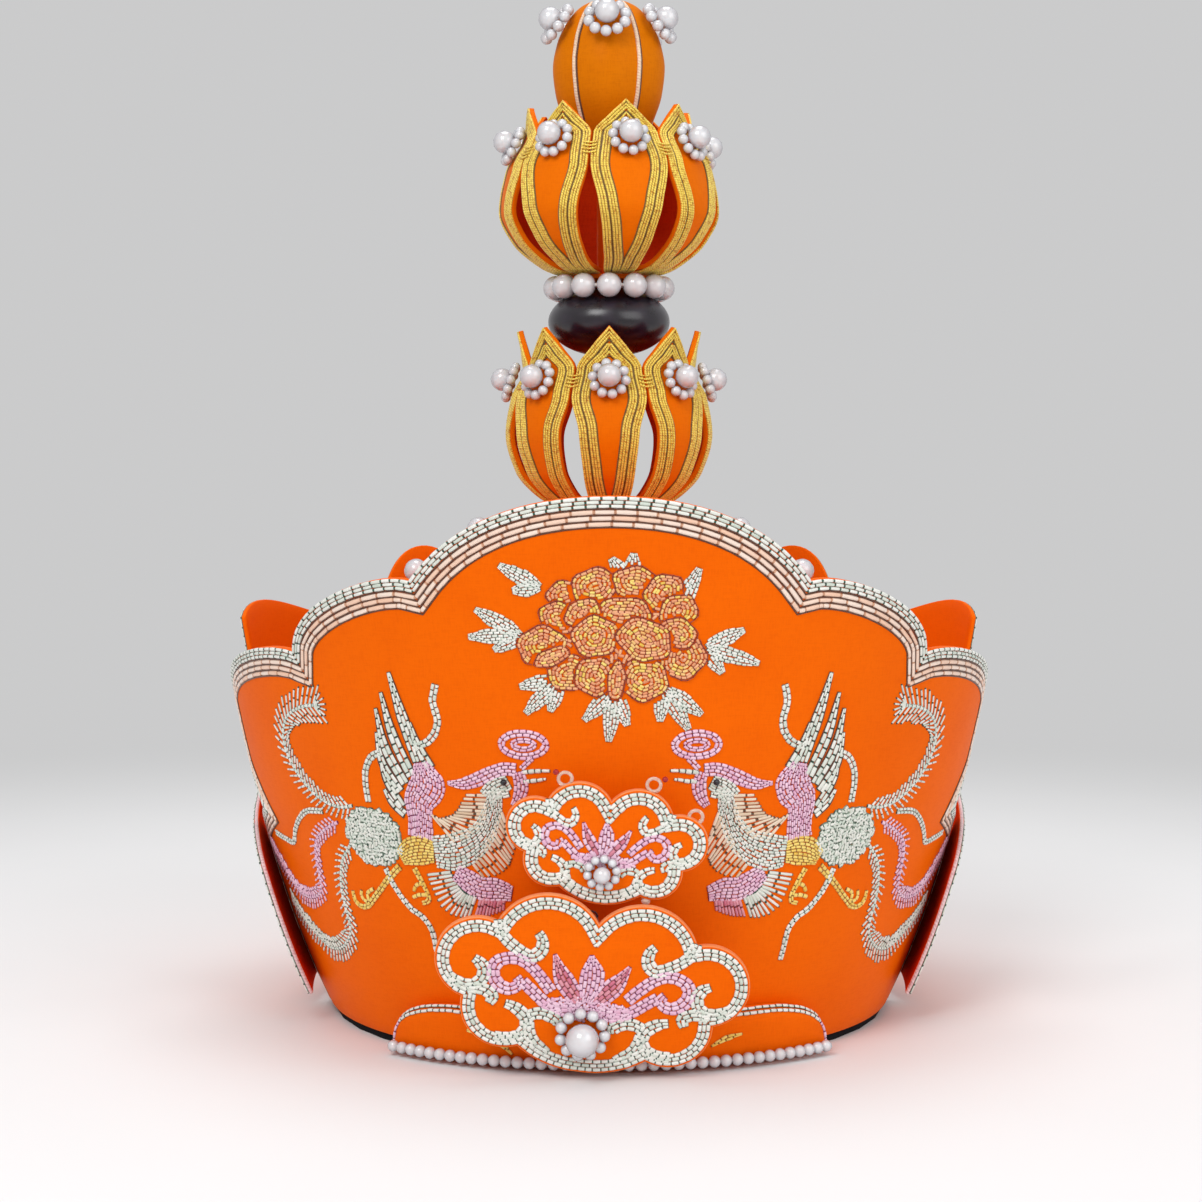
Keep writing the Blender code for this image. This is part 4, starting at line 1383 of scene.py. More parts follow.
@dataclass
class CloudPanel:
    """A stiff panel with cloud lobes along its top and shaped side edges."""

    node: str
    surface: FlaredWall | BackWall
    lobes: Sequence[Sequence[Place]]
    edge: Sequence[Place]
    height: float
    notch: float
    wall: float
    foot_rise: float = 0.0
    foot: float = 2.3 * MM
    columns_per_lobe: int = 18
    rows_below: int = 20
    rows_above: int = 8
    edge_thread: float = 0.0
    # painted shade: the inner face is dark red below this height and orange above
    painted_shade_below: float = 90 * MM
    grain: float = 0.4 * MM

    def __post_init__(self) -> None:
        """Find the side edge's top, as a height and an angle."""
        self.last = self.edge[-1][0] * self.height
        self.widest = self.lobes[-1][-1][0]

    def columns(self) -> list[Place]:
        """Follow the lobes along the panel's top.

        Returns:
            Angles and top heights from the left edge to the right edge.
        """
        half = [self.lobes[0][0]]
        for corners in self.lobes:
            for step in range(1, self.columns_per_lobe + 1):
                t = step / self.columns_per_lobe
                weights = ((1 - t) ** 3, 3 * t * (1 - t) ** 2, 3 * t * t * (1 - t), t ** 3)
                half.append(tuple(sum(w * place for w, place in zip(weights, axis))
                                  for axis in zip(*corners)))
        left = [(-angle, level) for angle, level in reversed(half[1:])]
        return [(angle, level * self.height) for angle, level in left + half]

    def half_angle(self, height: float) -> float:
        """Angle of the side edge.

        Args:
            height: Where, over the ground.

        Returns:
            Degrees from the panel's middle.
        """
        level = height / self.height
        if level >= self.edge[-1][0]:
            return self.widest
        split = [row for row in self.edge if row[0] <= self.notch + 1e-6]
        above = [row for row in self.edge if row[0] >= self.notch - 1e-6]
        return monotone(split if level < self.notch and len(split) > 1 else above, level)[0]

    def low(self, side: float) -> float:
        """Height of the foot at a share of the half width."""
        return self.foot + self.foot_rise * ease((abs(side) - 0.66) / 0.16)

    def column(self, angle: float, top: float) -> list[Vector]:
        """Points of the outer face from the foot up, with a row at the notch.

        Args:
            angle: The column's angle at the top.
            top: Its height.

        Returns:
            The column's points.
        """
        side = angle / self.widest
        low = self.low(side)
        notch = self.notch / self.edge[-1][0]
        levels = [notch * step / self.rows_below for step in range(self.rows_below)]
        levels += [notch + (1 - notch) * step / self.rows_above for step in range(self.rows_above + 1)]
        heights = [low + (self.last - low) * level for level in levels]
        heights += [self.last + (top - self.last) * (step + 1) / self.rows_above
                    for step in range(self.rows_above)]
        spans = [self.half_angle(height) if height < self.last else self.widest for height in heights]
        return [self.surface.at(side * span, height) for span, height in zip(spans, heights)]

    def build(self) -> None:
        """Build the panel with its inner face dark red below a height as painted shade, orange above."""
        bm = bmesh.new()
        quilt(bm, [self.column(angle, top) for angle, top in self.columns()])
        piece = finish_mesh(self.node + "_cloth", bm, [ORANGE, RED_AND_SHADE_INSIDE], self.wall, 0.45 * MM)
        # painted shade: inner faces above the height go back to orange
        for face in piece.data.polygons:
            if face.center.z > self.painted_shade_below:
                face.material_index = 0
        seat_piece(piece, [self.node])

    def outline(self) -> list[Vector]:
        """Follow the edge from the left foot over the lobes to the right foot.

        Returns:
            Its points, in lengths over the embroidery ground.
        """
        columns = self.columns()
        side = []
        cuts = [self.low(1.0), self.notch * self.height, self.last, columns[-1][1]]
        for start, end in zip(cuts, cuts[1:]):
            heights = np.linspace(start, end, 24)
            marks = [Vector((self.half_angle(height) * GROUND, height)) for height in heights]
            side += even_line(marks, self.grain)
        top: list[Vector] = []
        ends = [lobe[-1][0] for lobe in self.lobes]
        bounds = [-end for end in reversed(ends)] + ends
        for start, end in zip(bounds, bounds[1:]):
            top += even_line([Vector((angle * GROUND, level)) for angle, level in columns
                              if start - 1e-6 <= angle <= end + 1e-6], self.grain)
        path = [Vector((-point.x, point.y)) for point in side] + top + list(reversed(side))
        return [point for index, point in enumerate(path)
                if not index or (point - path[index - 1]).length > 0.05 * MM]

    def trim(self) -> None:
        """Lay the trim along the edge of the outer face, and a thread down the edge where asked for."""
        outline = self.outline()
        Border().lay(self.node, self.surface, outline)
        if self.edge_thread:
            lines = []
            for side in (-1, 1):
                part = [point for point in outline if point.x * side > 0 and point.y < self.edge_thread]
                lines.append([self.surface.place(*point, -self.wall / 2)
                              for point in even_line(part, 1.2 * MM)])
            lay_cords(f"{self.node}_edge_thread", lines, 0.6 * MM, Cord.BLUSH)


@dataclass
class SkullCap:
    """Smooth dome on straight sides, with small pearl flowers, one body with its lining ring."""

    centre: float
    half_width: float = 87.2 * MM
    half_depth: float = 97.2 * MM
    height: float = 159 * MM
    dome: float = 80 * MM
    foot: float = 2.3 * MM
    wall: float = 2.2 * MM
    roundness: float = 2.2
    turn_step: int = 5
    flowers: Sequence[Place] = ((-66.0, 0.50), (66.0, 0.50), (-68.0, 0.72), (68.0, 0.72))

    def rise(self, share: float) -> float:
        """Height of the dome over its spring, as a share, at a share of its radius."""
        return (1 - share ** self.roundness) ** (1 / self.roundness)

    def spot(self, turn: float, share: float, level: float) -> Vector:
        """Point at a turn, in radians, and a share of the radius."""
        return around(self.centre, turn, self.half_width * share, self.half_depth * share, level)

    def build(self) -> None:
        """Build the cap."""
        spring = self.height - self.dome
        profile = [(1.0, self.foot), (1.0, spring / 2)]
        for turn in range(0, 90, self.turn_step):
            share = math.cos(math.radians(turn)) ** (2 / self.roundness)
            profile.append((share, spring + self.dome * self.rise(share)))
        turns = [math.radians(turn) for turn in range(0, 360, self.turn_step)]
        bm = bmesh.new()
        rows = [[self.spot(turn, share, level) for turn in turns] for share, level in profile]
        rim = quilt(bm, rows, closed=True, flip=True)[-1]
        top = bm.verts.new((0, self.centre, self.height))
        for index, vert in enumerate(rim):
            bm.faces.new((vert, rim[(index + 1) % len(rim)], top))
        # the inner shell is dark red as painted shade
        piece = finish_mesh("crown_cap_cloth", bm, [ORANGE, RED_AND_SHADE_INSIDE], self.wall)
        seat_piece(piece, ["crown_cap"])

    def set_flowers(self) -> None:
        """Set the pearl flowers, one piece that stands for four solids."""
        points = Points()
        power = self.roundness - 1
        for azimuth, share in self.flowers:
            turn = math.radians(azimuth)
            rise = self.rise(share)
            lean = share ** power / self.half_width
            seat = self.spot(turn, share, self.height - self.dome + self.dome * rise)
            normal = around(0.0, turn, lean, lean, rise ** power / self.dome).normalized()
            Flower().add(points, seat + normal * SEAT, normal)
        string_beads("cap_flower_pearls", points, [f"cap_flower_{number}" for number in range(1, 5)])


@dataclass
class BrowBand(Surface):
    """Padded band along the foot of the front, with braid piping and a string of pearls."""

    wall: FlaredWall
    half_angle: float = 41.0
    height: float = 17.5 * MM
    dip: float = 3 * MM
    foot: float = 1 * MM
    thickness: float = 8 * MM
    top_thickness: float = 3.5 * MM
    squareness: float = 7.0
    belly: float = 0.62
    flatness: float = 0.14
    hem: float = 0.06
    pearl: float = 3.6 * MM

    def top(self, angle: float) -> float:
        """Height of the top edge, which dips at the middle and has round ends.

        Args:
            angle: Degrees from the front.

        Returns:
            The height.
        """
        share = min(1.0, abs(angle) / self.half_angle)
        crown = self.height - self.dip * (1 - ease(share / 0.75))
        return self.foot + (crown - self.foot) * (1 - share ** self.squareness) ** 0.5

    def swell(self, share: float) -> float:
        """Thickness of the padding.

        Args:
            share: Share of the band's height.

        Returns:
            The thickness there.
        """
        if share < self.belly:
            return self.thickness * (1 - self.flatness * (share / self.belly) ** 2)
        fall = math.sqrt(max(0.0, 1 - ((share - self.belly) / (1 - self.belly)) ** 2))
        return self.top_thickness + (self.thickness * (1 - self.flatness) - self.top_thickness) * fall

    def spot(self, across: float, up: float) -> Vector:
        """Point of the padded face.

        Args:
            across: Length across it, over the embroidery ground.
            up: Height.

        Returns:
            The point.
        """
        angle = max(-self.half_angle, min(self.half_angle, across / GROUND))
        rise = max(0.5 * MM, self.top(angle) - self.foot)
        share = ((up - self.foot) / rise - self.hem) / (1 - self.hem)
        return self.wall.at(across / GROUND, up, self.swell(min(1.0, max(0.0, share))))

    def section(self, angle: float) -> list[Vector]:
        """Padded section of the band.

        Args:
            angle: Degrees from the front.

        Returns:
            Its points, from the foot at the wall round to the top.
        """
        rise = self.top(angle * 0.996) - self.foot
        spots = [(0.0, SEAT), (0.0, self.thickness - 1.2 * MM)]
        spots += [(self.hem + (1 - self.hem) * step / 10, self.swell(step / 10)) for step in range(11)]
        spots.append((1.0, SEAT))
        return [self.wall.at(angle, self.foot + rise * share, offset) for share, offset in spots]

    def angles(self, count: int) -> list[float]:
        """Angles along the band, closer together at its round ends."""
        return [-self.half_angle * math.cos(math.pi * step / count) for step in range(count + 1)]

    def build(self) -> None:
        """Build the padded band."""
        bm = bmesh.new()
        rings = quilt(bm, [self.section(angle) for angle in self.angles(72)], closed=True)
        bm.faces.new(rings[0])
        bm.faces.new(tuple(reversed(rings[-1])))
        bmesh.ops.recalc_face_normals(bm, faces=bm.faces)
        piece = finish_mesh("brow_band_cloth", bm, [ORANGE])
        seat_piece(piece, ["brow_band"])

    def trim(self) -> None:
        """Lay the braid piping along the top edge and the ends, and three gold leaves on the face."""
        work = Embroidery(self, pitch=2.5 * MM, row=1.05 * MM, height=0.9 * MM, seed=61)
        marks = [Vector((angle * GROUND, self.top(angle))) for angle in self.angles(360)]
        outline = even_line(marks, 0.4 * MM)
        inner = self.half_angle * 0.93 * GROUND
        for row in range(2):
            line = widened(inset_line(outline, (0.1 + row) * work.row), work.row)
            offset = 0.5 if row % 2 else 0.0
            work.run(Thread.PINK, [point for point in line if point.x < -inner], offset)
            work.run(Thread.WHITE, [point for point in line if abs(point.x) < inner], offset)
            work.run(Thread.PINK, [point for point in line if point.x > inner], offset)
        for leaf in BROW_LEAVES:
            spine = [(angle * GROUND, level * MM) for angle, level in leaf]
            work.stroke(Thread.GOLD, spine, (0.6 * MM, 2.2 * MM, 0.6 * MM))
        work.make("brow_band")

    def string(self) -> None:
        """String the pearls along the band's foot."""
        radius = self.pearl / 2
        level = self.foot + 1.3 * MM + radius / 3
        reach = self.half_angle - 1.8
        marks = [self.wall.at(reach * (step / 120 - 1), level, self.thickness + SEAT + radius)
                 for step in range(241)]
        line = even_line(marks, self.pearl * 1.01)
        points = Points()
        for index, place in enumerate(line):
            points.add(place, heading(line, index), Vector((0, 0, 1)), self.pearl)
        string_beads("brow_pearls", points, ["brow_pearl_string"], detail=(16, 10))
        lay_cords("brow_pearl_thread", [even_line(marks, 1.5 * MM)], 0.35 * MM, Cord.STRING, 6)


@dataclass(frozen=True)
class Flower:
    """Pearl flower: one large pearl in a ring of small ones."""

    pearl: float = 7.6 * MM
    ring: float = 5.2 * MM
    small: float = 3.3 * MM
    count: int = 10
    stand: float = 4.6 * MM

    def add(self, points: Points, seat: Vector, normal: Vector, turn: float = 0.0) -> None:
        """Add the flower's pearls to the points.

        Args:
            points: Where to add them.
            seat: Middle of the flower's flat back.
            normal: Direction it faces.
            turn: Turn of the ring, in degrees.
        """
        side = normal.orthogonal().normalized()
        other = normal.cross(side)
        points.add(seat + normal * self.stand, side, normal, self.pearl)
        for index in range(self.count):
            spin = math.radians(turn) + 2 * math.pi * index / self.count
            out = side * math.cos(spin) + other * math.sin(spin)
            points.add(seat + out * self.ring + normal * (self.small / 2), out, normal, self.small)


@dataclass(frozen=True)
class Petal:
    """Shape of a lotus petal: radius share and half angle by height share."""

    rows: Rows
    foot: float
    height: float
    radius: float
    centre: float
    root: float = 9 * MM
    slope_step: float = 0.004

    def reach(self, share: float) -> float:
        """Radius at a height share."""
        return max(self.radius * monotone(self.rows, share)[0], self.root)

    def half(self, share: float) -> float:
        """Half width at a height share, as a length."""
        return max(0.0, math.radians(monotone(self.rows, share)[1])) * self.reach(share)

    def at(self, azimuth: float, across: float, share: float, lift: float = 0.0) -> Vector:
        """Point on or over the petal's outer face.

        Args:
            azimuth: Direction of the petal's middle, in degrees.
            across: Length across the petal.
            share: Share of its height.
            lift: Distance from the face.

        Returns:
            The point.
        """
        reach, step = self.reach(share), self.slope_step
        turn = math.radians(azimuth) + across / reach
        out = Vector((math.sin(turn), -math.cos(turn), 0.0))
        gain = self.reach(min(1.0, share + step)) - self.reach(max(0.0, share - step))
        normal = (out - Vector((0, 0, gain / (2 * step * self.height)))).normalized()
        return Vector((0, self.centre, self.foot + self.height * share)) + out * reach + normal * lift


@dataclass
class Cup:
    """Eight petals with gold cords and a pearl flower each."""

    title: str
    petal: Petal
    turn: float
    flower_share: float
    count: int = 8
    wall: float = 1.5 * MM
    cords: Sequence[float] = (0.50 * MM, 1.38 * MM, 2.26 * MM, 3.62 * MM, 4.50 * MM, 5.38 * MM)
    grooves: Sequence[float] = (0.94 * MM, 1.82 * MM, 2.78 * MM, 3.10 * MM, 4.06 * MM, 4.94 * MM, 5.90 * MM)
    ties: Sequence[float] = (0.66, 0.68, 0.70, 0.72)
    tie_reach: float = 2.2 * MM
    flower_turn: float = 18.0
    flower_reach: float = 6.8 * MM

    def __post_init__(self) -> None:
        """Find the petals' directions."""
        self.azimuths = [self.turn + 360 * index / self.count for index in range(self.count)]

    def build(self) -> None:
        """Build the petals, each with a red inner face."""
        tall, across = 40, 10
        for number, azimuth in enumerate(self.azimuths, 1):
            rows = []
            for share in (step / tall for step in range(tall + 1)):
                half = self.petal.half(share)
                rows.append([self.petal.at(azimuth, half * (2 * step / across - 1), share)
                             for step in range(across + 1)])
            bm = bmesh.new()
            quilt(bm, rows, flip=True)
            piece = finish_mesh(f"{self.title}_petal_{number}_cloth", bm, [PETAL_SATIN, RED_AND_SHADE_INSIDE],
                                self.wall, 0.25 * MM)
            seat_piece(piece, [f"{self.title}_petal_{number}"])

    def cord_line(self, azimuth: float, depth: float, lift: float) -> list[Vector]:
        """Line at a depth inside a petal's edge, from the foot over the tip and back.

        Args:
            azimuth: Direction of the petal.
            depth: Distance from its edge.
            lift: Distance from its face.

        Returns:
            The line.
        """
        total = self.grooves[-1] + 0.2 * MM
        least, last, count = 0.05 * MM, 0.0, 160
        sides: dict[int, list[Vector]] = {-1: [], 1: []}
        for step in range(count + 1):
            share = last = 0.004 + 0.994 * step / count
            low, high = max(0.0, share - 0.01), min(1.0, share + 0.01)
            half = self.petal.half(share)
            arc = math.hypot(self.petal.reach(high) - self.petal.reach(low), (high - low) * self.petal.height)
            slope = (self.petal.half(high) - self.petal.half(low)) / arc
            squeeze = 1.0 if share > 0.5 else min(1.0, half / total)
            across = half - depth * squeeze * math.sqrt(1 + slope * slope)
            if across < least and share > 0.5:
                break
            for side in sides:
                sides[side].append(self.petal.at(azimuth, side * max(least, across), share, lift))
        tip = self.petal.at(azimuth, 0.0, last, lift)
        return even_line(sides[-1] + [tip] + list(reversed(sides[1])), 1.8 * MM)

    def trim(self) -> None:
        """Lay the gold cords, dark lines in their grooves as painted shade, and the thread ties between
        neighbours.
        """
        gold, dark = ([self.cord_line(azimuth, depth, lift) for azimuth in self.azimuths for depth in depths]
                      for depths, lift in ((self.cords, 0.28 * MM), (self.grooves, 0.06 * MM)))
        between = 180 / self.count
        ties = [[self.petal.at(azimuth + between, spot * self.tie_reach,
                               share + 0.008 * spot * spot, 1.05 * MM)
                 for spot in (-1.0, -0.6, -0.2, 0.2, 0.6, 1.0)]
                for azimuth in self.azimuths for share in self.ties]
        lay_cords(f"{self.title}_petal_gold_cords", gold, 0.43 * MM, Cord.YELLOW, 6)
        # painted shade: dark lines in the grooves between the gold cords
        lay_cords(f"{self.title}_petal_dark_lines", dark, 0.32 * MM, Cord.OLIVE, 4)
        lay_cords(f"{self.title}_petal_ties", ties, 0.3 * MM, Cord.YELLOW, 6)

    def set_flowers(self) -> None:
        """Set a pearl flower on every petal, clear of the petal's swell."""
        reach = self.flower_reach / self.petal.height
        points = Points()
        for azimuth in self.azimuths:
            places = [self.petal.at(azimuth, 0.0, self.flower_share + reach * step / 6)
                      for step in range(-6, 7)]
            side = Vector((math.cos(math.radians(azimuth)), math.sin(math.radians(azimuth)), 0))
            normal = side.cross(places[-1] - places[0]).normalized()
            middle = (places[0] + places[-1]) / 2
            lift = max((place - middle).dot(normal) for place in places)
            Flower().add(points, middle + normal * (lift + SEAT), normal, self.flower_turn)
        string_beads(f"{self.title}_flower_pearls", points,
                     [f"{self.title}_petal_flower_{number}" for number in range(1, self.count + 1)])


@dataclass
class Finial:
    """Ball, neck pearls and bud above the cap, with the two cups."""

    centre: float
    neck: float
    cups: Sequence[Cup]
    ball_width: float = 39.7 * MM
    ball_height: float = 22.6 * MM
    ball_level: float = 222 * MM
    bore: float = 4.3 * MM
    neck_pearl: float = 8 * MM
    neck_count: int = 13
    neck_radius: float = 17.6 * MM
    bud_width: float = 37 * MM
    bud_height: float = 53 * MM
    bud_top: float = 326 * MM
    gores: int = 5
    gore_depth: float = 0.05
    bud_turn: float = -2.0
    bud_flower_tilt: float = 35.0
    bud_flower_share: float = 0.82
    profile: Rows = ((0.0, 0.40), (0.10, 0.56), (0.25, 0.78), (0.42, 0.95), (0.58, 1.0), (0.72, 0.93),
                     (0.84, 0.78), (0.93, 0.58), (0.985, 0.32), (1.0, 0.0))

    def __post_init__(self) -> None:
        """Find the bud's foot and the turns of its seams and of its flowers."""
        self.bud_foot = self.bud_top - self.bud_height
        self.seams = ring_turns(self.gores, self.bud_turn + 180 / self.gores)
        self.faces = ring_turns(self.gores, self.bud_turn)

    def round(self, turn: float, radius: float, level: float) -> Vector:
        """Point about the finial's axis."""
        return around(self.centre, turn, radius, radius, level)

    def lathe(self, name: str, profile: Sequence[Place], steps: int, finish: Finish, node: str,
              shape: Callable[[float], float] = lambda turn: 1.0) -> bpy.types.Object:
        """Turn a closed profile about the finial's axis.

        Args:
            name: Name of the piece.
            profile: Radius and height, from the top down; radius 0 closes a pole.
            steps: Steps round the axis.
            finish: Its finish.
            node: The solid that it stands for.
            shape: Scale of the radius by the direction, in radians.

        Returns:
            The piece.
        """
        bm = bmesh.new()
        turns = [2 * math.pi * step / steps for step in range(steps)]
        rings = [[bm.verts.new(self.round(turn, radius * shape(turn), level))
                  for turn in (turns if radius > 1e-6 else turns[:1])] for radius, level in profile]
        for upper, lower in zip(rings, rings[1:] + rings[:1]):
            for step in range(steps):
                corners = [upper[step % len(upper)], upper[(step + 1) % len(upper)],
                           lower[(step + 1) % len(lower)], lower[step % len(lower)]]
                corners = list(dict.fromkeys(corners))
                if len(corners) > 2:
                    bm.faces.new(corners)
        bmesh.ops.recalc_face_normals(bm, faces=bm.faces)
        return seat_piece(finish_mesh(name, bm, [finish]), [node])

    def build_ball(self) -> None:
        """Build the flattened black ball."""
        lean = math.acos(self.bore / (self.ball_width / 2))
        turns = [lean - 2 * lean * step / 28 for step in range(29)]
        profile = [(self.ball_width / 2 * math.cos(turn),
                    self.ball_level + self.ball_height / 2 * math.sin(turn)) for turn in turns]
        self.lathe("finial_ball_gloss", profile, 48, LACQUER, "finial_ball")

    def build_neck(self) -> None:
        """String the neck pearls with silver thread between them."""
        points = Points()
        for turn in (2 * math.pi * index / self.neck_count for index in range(self.neck_count)):
            points.add(self.round(turn, self.neck_radius, self.neck),
                       Vector((math.cos(turn), math.sin(turn), 0)), Vector((0, 0, 1)), self.neck_pearl)
        string_beads("neck_pearl_ring", points, ["neck_pearls"], detail=(24, 14))
        count = 12 * self.neck_count
        turns = [2 * math.pi * step / count for step in range(count + 1)]
        loops = [[self.round(turn, self.neck_radius,
                             self.neck + 0.5 * MM * math.sin(turn * self.neck_count + math.pi * strand))
                  for turn in turns] for strand in range(2)]
        lay_cords("neck_thread", loops, 0.5 * MM, Cord.STRING, 6)

    def bud_radius(self, share: float) -> float:
        """Radius of the bud over its gores at a height share."""
        return self.bud_width / 2 * monotone(self.profile, share)[0]

    def gore(self, turn: float) -> float:
        """Scale of the bud's radius, smaller at its seams."""
        return 1 - self.gore_depth * (1 + math.cos((turn - self.seams[0]) * self.gores)) / 2

    def bud_point(self, turn: float, share: float, lift: float = 0.0) -> Vector:
        """Point on the bud by direction, in radians, and height share."""
        return self.round(turn, self.bud_radius(share) * self.gore(turn) + lift,
                          self.bud_foot + self.bud_height * share)

    def build_bud(self) -> None:
        """Build the bud with its cord lines and flowers."""
        count = 40
        shares = [1 - (step / count) ** 1.6 for step in range(count + 1)]
        profile = [(self.bud_radius(share), self.bud_foot + self.bud_height * share) for share in shares]
        profile.append((0.0, self.bud_foot))
        piece = self.lathe("finial_bud_cloth", profile, 80, BUD_SATIN, "finial_bud", self.gore)
        for name, shift, radius, cord in (("bud_pale_cords", -0.3 * MM, 0.68 * MM, Cord.PALE),
                                          ("bud_dark_lines", 0.62 * MM, 0.3 * MM, Cord.UMBER)):
            lines = []
            for middle in self.seams:
                shares = [0.01 + 0.95 * step / count for step in range(count + 1)]
                lines.append(even_line([self.bud_point(middle + shift / max(3 * MM, self.bud_radius(share)),
                                                       share, 0.1 * MM) for share in shares], 1.2 * MM))
            lay_cords(name, lines, radius, cord)
        points = Points()
        tilt = math.radians(self.bud_flower_tilt)
        for turn in self.faces:
            normal = around(0.0, turn, math.cos(tilt), math.cos(tilt), math.sin(tilt))
            seat = self.bud_point(turn, self.bud_flower_share, SEAT + 0.6 * MM)
            Flower(7.9 * MM, 6.0 * MM, 3.7 * MM).add(points, seat, normal)
        nodes = [f"bud_flower_{number}" for number in range(1, self.gores + 1)]
        string_beads("bud_flower_pearls", points, nodes)

    def build(self) -> None:
        """Build the whole finial."""
        for cup in self.cups:
            cup.build()
            cup.trim()
            cup.set_flowers()
        self.build_ball()
        self.build_neck()
        self.build_bud()


@dataclass
class CloudPlate:
    """A small cloud-edged plate on a spring, with scrolls and a lotus couched on its front."""

    name: str
    wall: FlaredWall
    width: float
    height: float
    level: float
    shift: float
    stand_off: float
    spring_share: float
    flower: Flower
    flower_place: Place
    row: float = 1.2 * MM
    border_rows: int = 3
    thickness: float = 2.5 * MM
    tilt: float = 7.6
    edge: float = 0.45 * MM
    wire: float = 0.6 * MM
    coil: float = 2 * MM
    coil_pitch: float = 2.6 * MM
    coil_steps: int = 24
    loop: float = 1.9 * MM
    lobes: Sequence[tuple[float, float, float]] = (
        (0.0, 0.366, 0.0), (0.63, 0.31, 0.30), (0.80, -0.14, 0.52), (0.408, -0.392, 0.285),
        (0.0, -0.50, 0.085))

    def __post_init__(self) -> None:
        """Find the plate's frame: parallel to the wall, stood off it and tilted in its own plane."""
        up = (self.wall.at(0, self.level * 1.2) - self.wall.at(0, self.level * 0.8)).normalized()
        across = Vector((1, 0, 0))
        out = across.cross(up)
        place = self.wall.at(0, self.level) + out * self.stand_off + across * self.shift
        turn = Matrix((across, up, out)).transposed().to_4x4()
        self.frame = Matrix.Translation(place) @ turn @ Matrix.Rotation(-math.radians(self.tilt), 4, "Z")
        self.face = PlateFace(self.frame, self.thickness / 2)

    def outline(self, step: float) -> list[Vector]:
        """Closed cloud outline, clockwise from the notch at the top.

        Args:
            step: Distance between its points.

        Returns:
            The outline.
        """
        right = [Vector((0.0, self.lobes[0][1] * self.height))]
        for x_share, z_share, bulge in self.lobes[1:]:
            end = Vector((x_share * self.width / 2, z_share * self.height))
            chord = end - right[-1]
            across = chord.orthogonal().normalized()
            half, rise = chord.length / 2, bulge * chord.length
            radius = (half * half + rise * rise) / (2 * rise)
            centre = right[-1] + chord / 2 - across * (radius - rise)
            sweep = 2 * math.atan2(half, radius - rise)
            arm = right[-1] - centre
            count = max(3, round(radius * sweep / step))
            for part in range(1, count + 1):
                turn = -sweep * part / count
                right.append(centre + Vector((arm.x * math.cos(turn) - arm.y * math.sin(turn),
                                              arm.x * math.sin(turn) + arm.y * math.cos(turn))))
        return right + [Vector((-point.x, point.y)) for point in reversed(right[1:-1])]

    def build_card(self) -> None:
        """Build the padded plate with soft edges."""
        curve = bpy.data.curves.new(self.name, "CURVE")
        curve.dimensions = "2D"
        curve.fill_mode = "BOTH"
        curve.bevel_depth = self.edge
        curve.bevel_resolution = 2
        curve.extrude = self.thickness / 2 - curve.bevel_depth
        curve.offset = -curve.bevel_depth
        spline = curve.splines.new("POLY")
        outline = self.outline(0.8 * MM)
        spline.points.add(len(outline) - 1)
        for point, place in zip(spline.points, outline):
            point.co = (*place, 0.0, 1.0)
        spline.use_cyclic_u = True
        shape = bpy.data.objects.new(self.name, curve)
        bpy.context.scene.collection.objects.link(shape)
        mesh = plain_mesh(shape)
        bpy.data.objects.remove(shape, do_unlink=True)
        mesh.transform(self.frame)
        bm = bmesh.new()
        bm.from_mesh(mesh)
        bpy.data.meshes.remove(mesh)
        bmesh.ops.remove_doubles(bm, verts=bm.verts, dist=DOUBLES)
        bmesh.ops.recalc_face_normals(bm, faces=bm.faces)
        out = self.face.normal(0, 0)
        for face in bm.faces:
            if abs(face.normal.dot(out)) < 0.9:
                face.material_index = 1
        piece = finish_mesh(self.name + "_cloth", bm, [ORANGE, EDGE_SATIN])
        seat_piece(piece, [self.name])

    def spots(self, points: Sequence[Place], side: int = 1) -> list[Place]:
        """Places on the plate from shares of its half width and height."""
        return [(x * self.width / 2 * side, z * self.height) for x, z in points]

    def embroider(self) -> None:
        """Couch the border, the scrolls and the lotus."""
        work = Embroidery(self.face, pitch=2.2 * MM, row=self.row, height=0.7 * MM, seed=21, wobble=0.04)
        outline = self.outline(0.4 * MM)
        for index in range(self.border_rows):
            line = inset_line(outline, 0.6 * MM + (index + 0.5) * self.row, True)
            thread = Thread.SILVER if index == 1 else Thread.WHITE
            for part in split_at_corners(line):
                work.run(thread, widened(part, self.row), 0.5 if index % 2 else 0.0)
        size = self.width / 90
        full = [width * size for width in (3.6, 3.6, 3.7, 4.2, 2.6)]
        for side in (-1, 1):
            for spine in (PLATE_HEART, PLATE_SIDE, PLATE_LOWER):
                work.stroke(Thread.WHITE, self.spots(spine, side), full, inner=Thread.SILVER)
            for spine in (PLATE_KNOT, PLATE_INNER, PLATE_BOTTOM):
                work.stroke(Thread.SILVER, self.spots(spine, side), full)
            for spine in (PLATE_RIBBON, PLATE_TAIL):
                work.stroke(Thread.PINK, self.spots(spine, side), full)
        work.seeds(Thread.PINK, self.spots(((0.0, -0.13),))[0], (0.30 * self.width, 0.13 * self.height))
        for spine in (PLATE_SIDE_PETAL, PLATE_RIGHT_PETAL):
            work.stroke(Thread.PINK, self.spots(spine), [width * size for width in (0.8, 6.2, 5.0)],
                        inner=Thread.ROSE)
        work.stroke(Thread.PINK, self.spots(PLATE_MID_PETAL),
                    [width * size for width in (0.8, 7.2, 7.0, 3.0)])
        work.make(self.name + "_work")

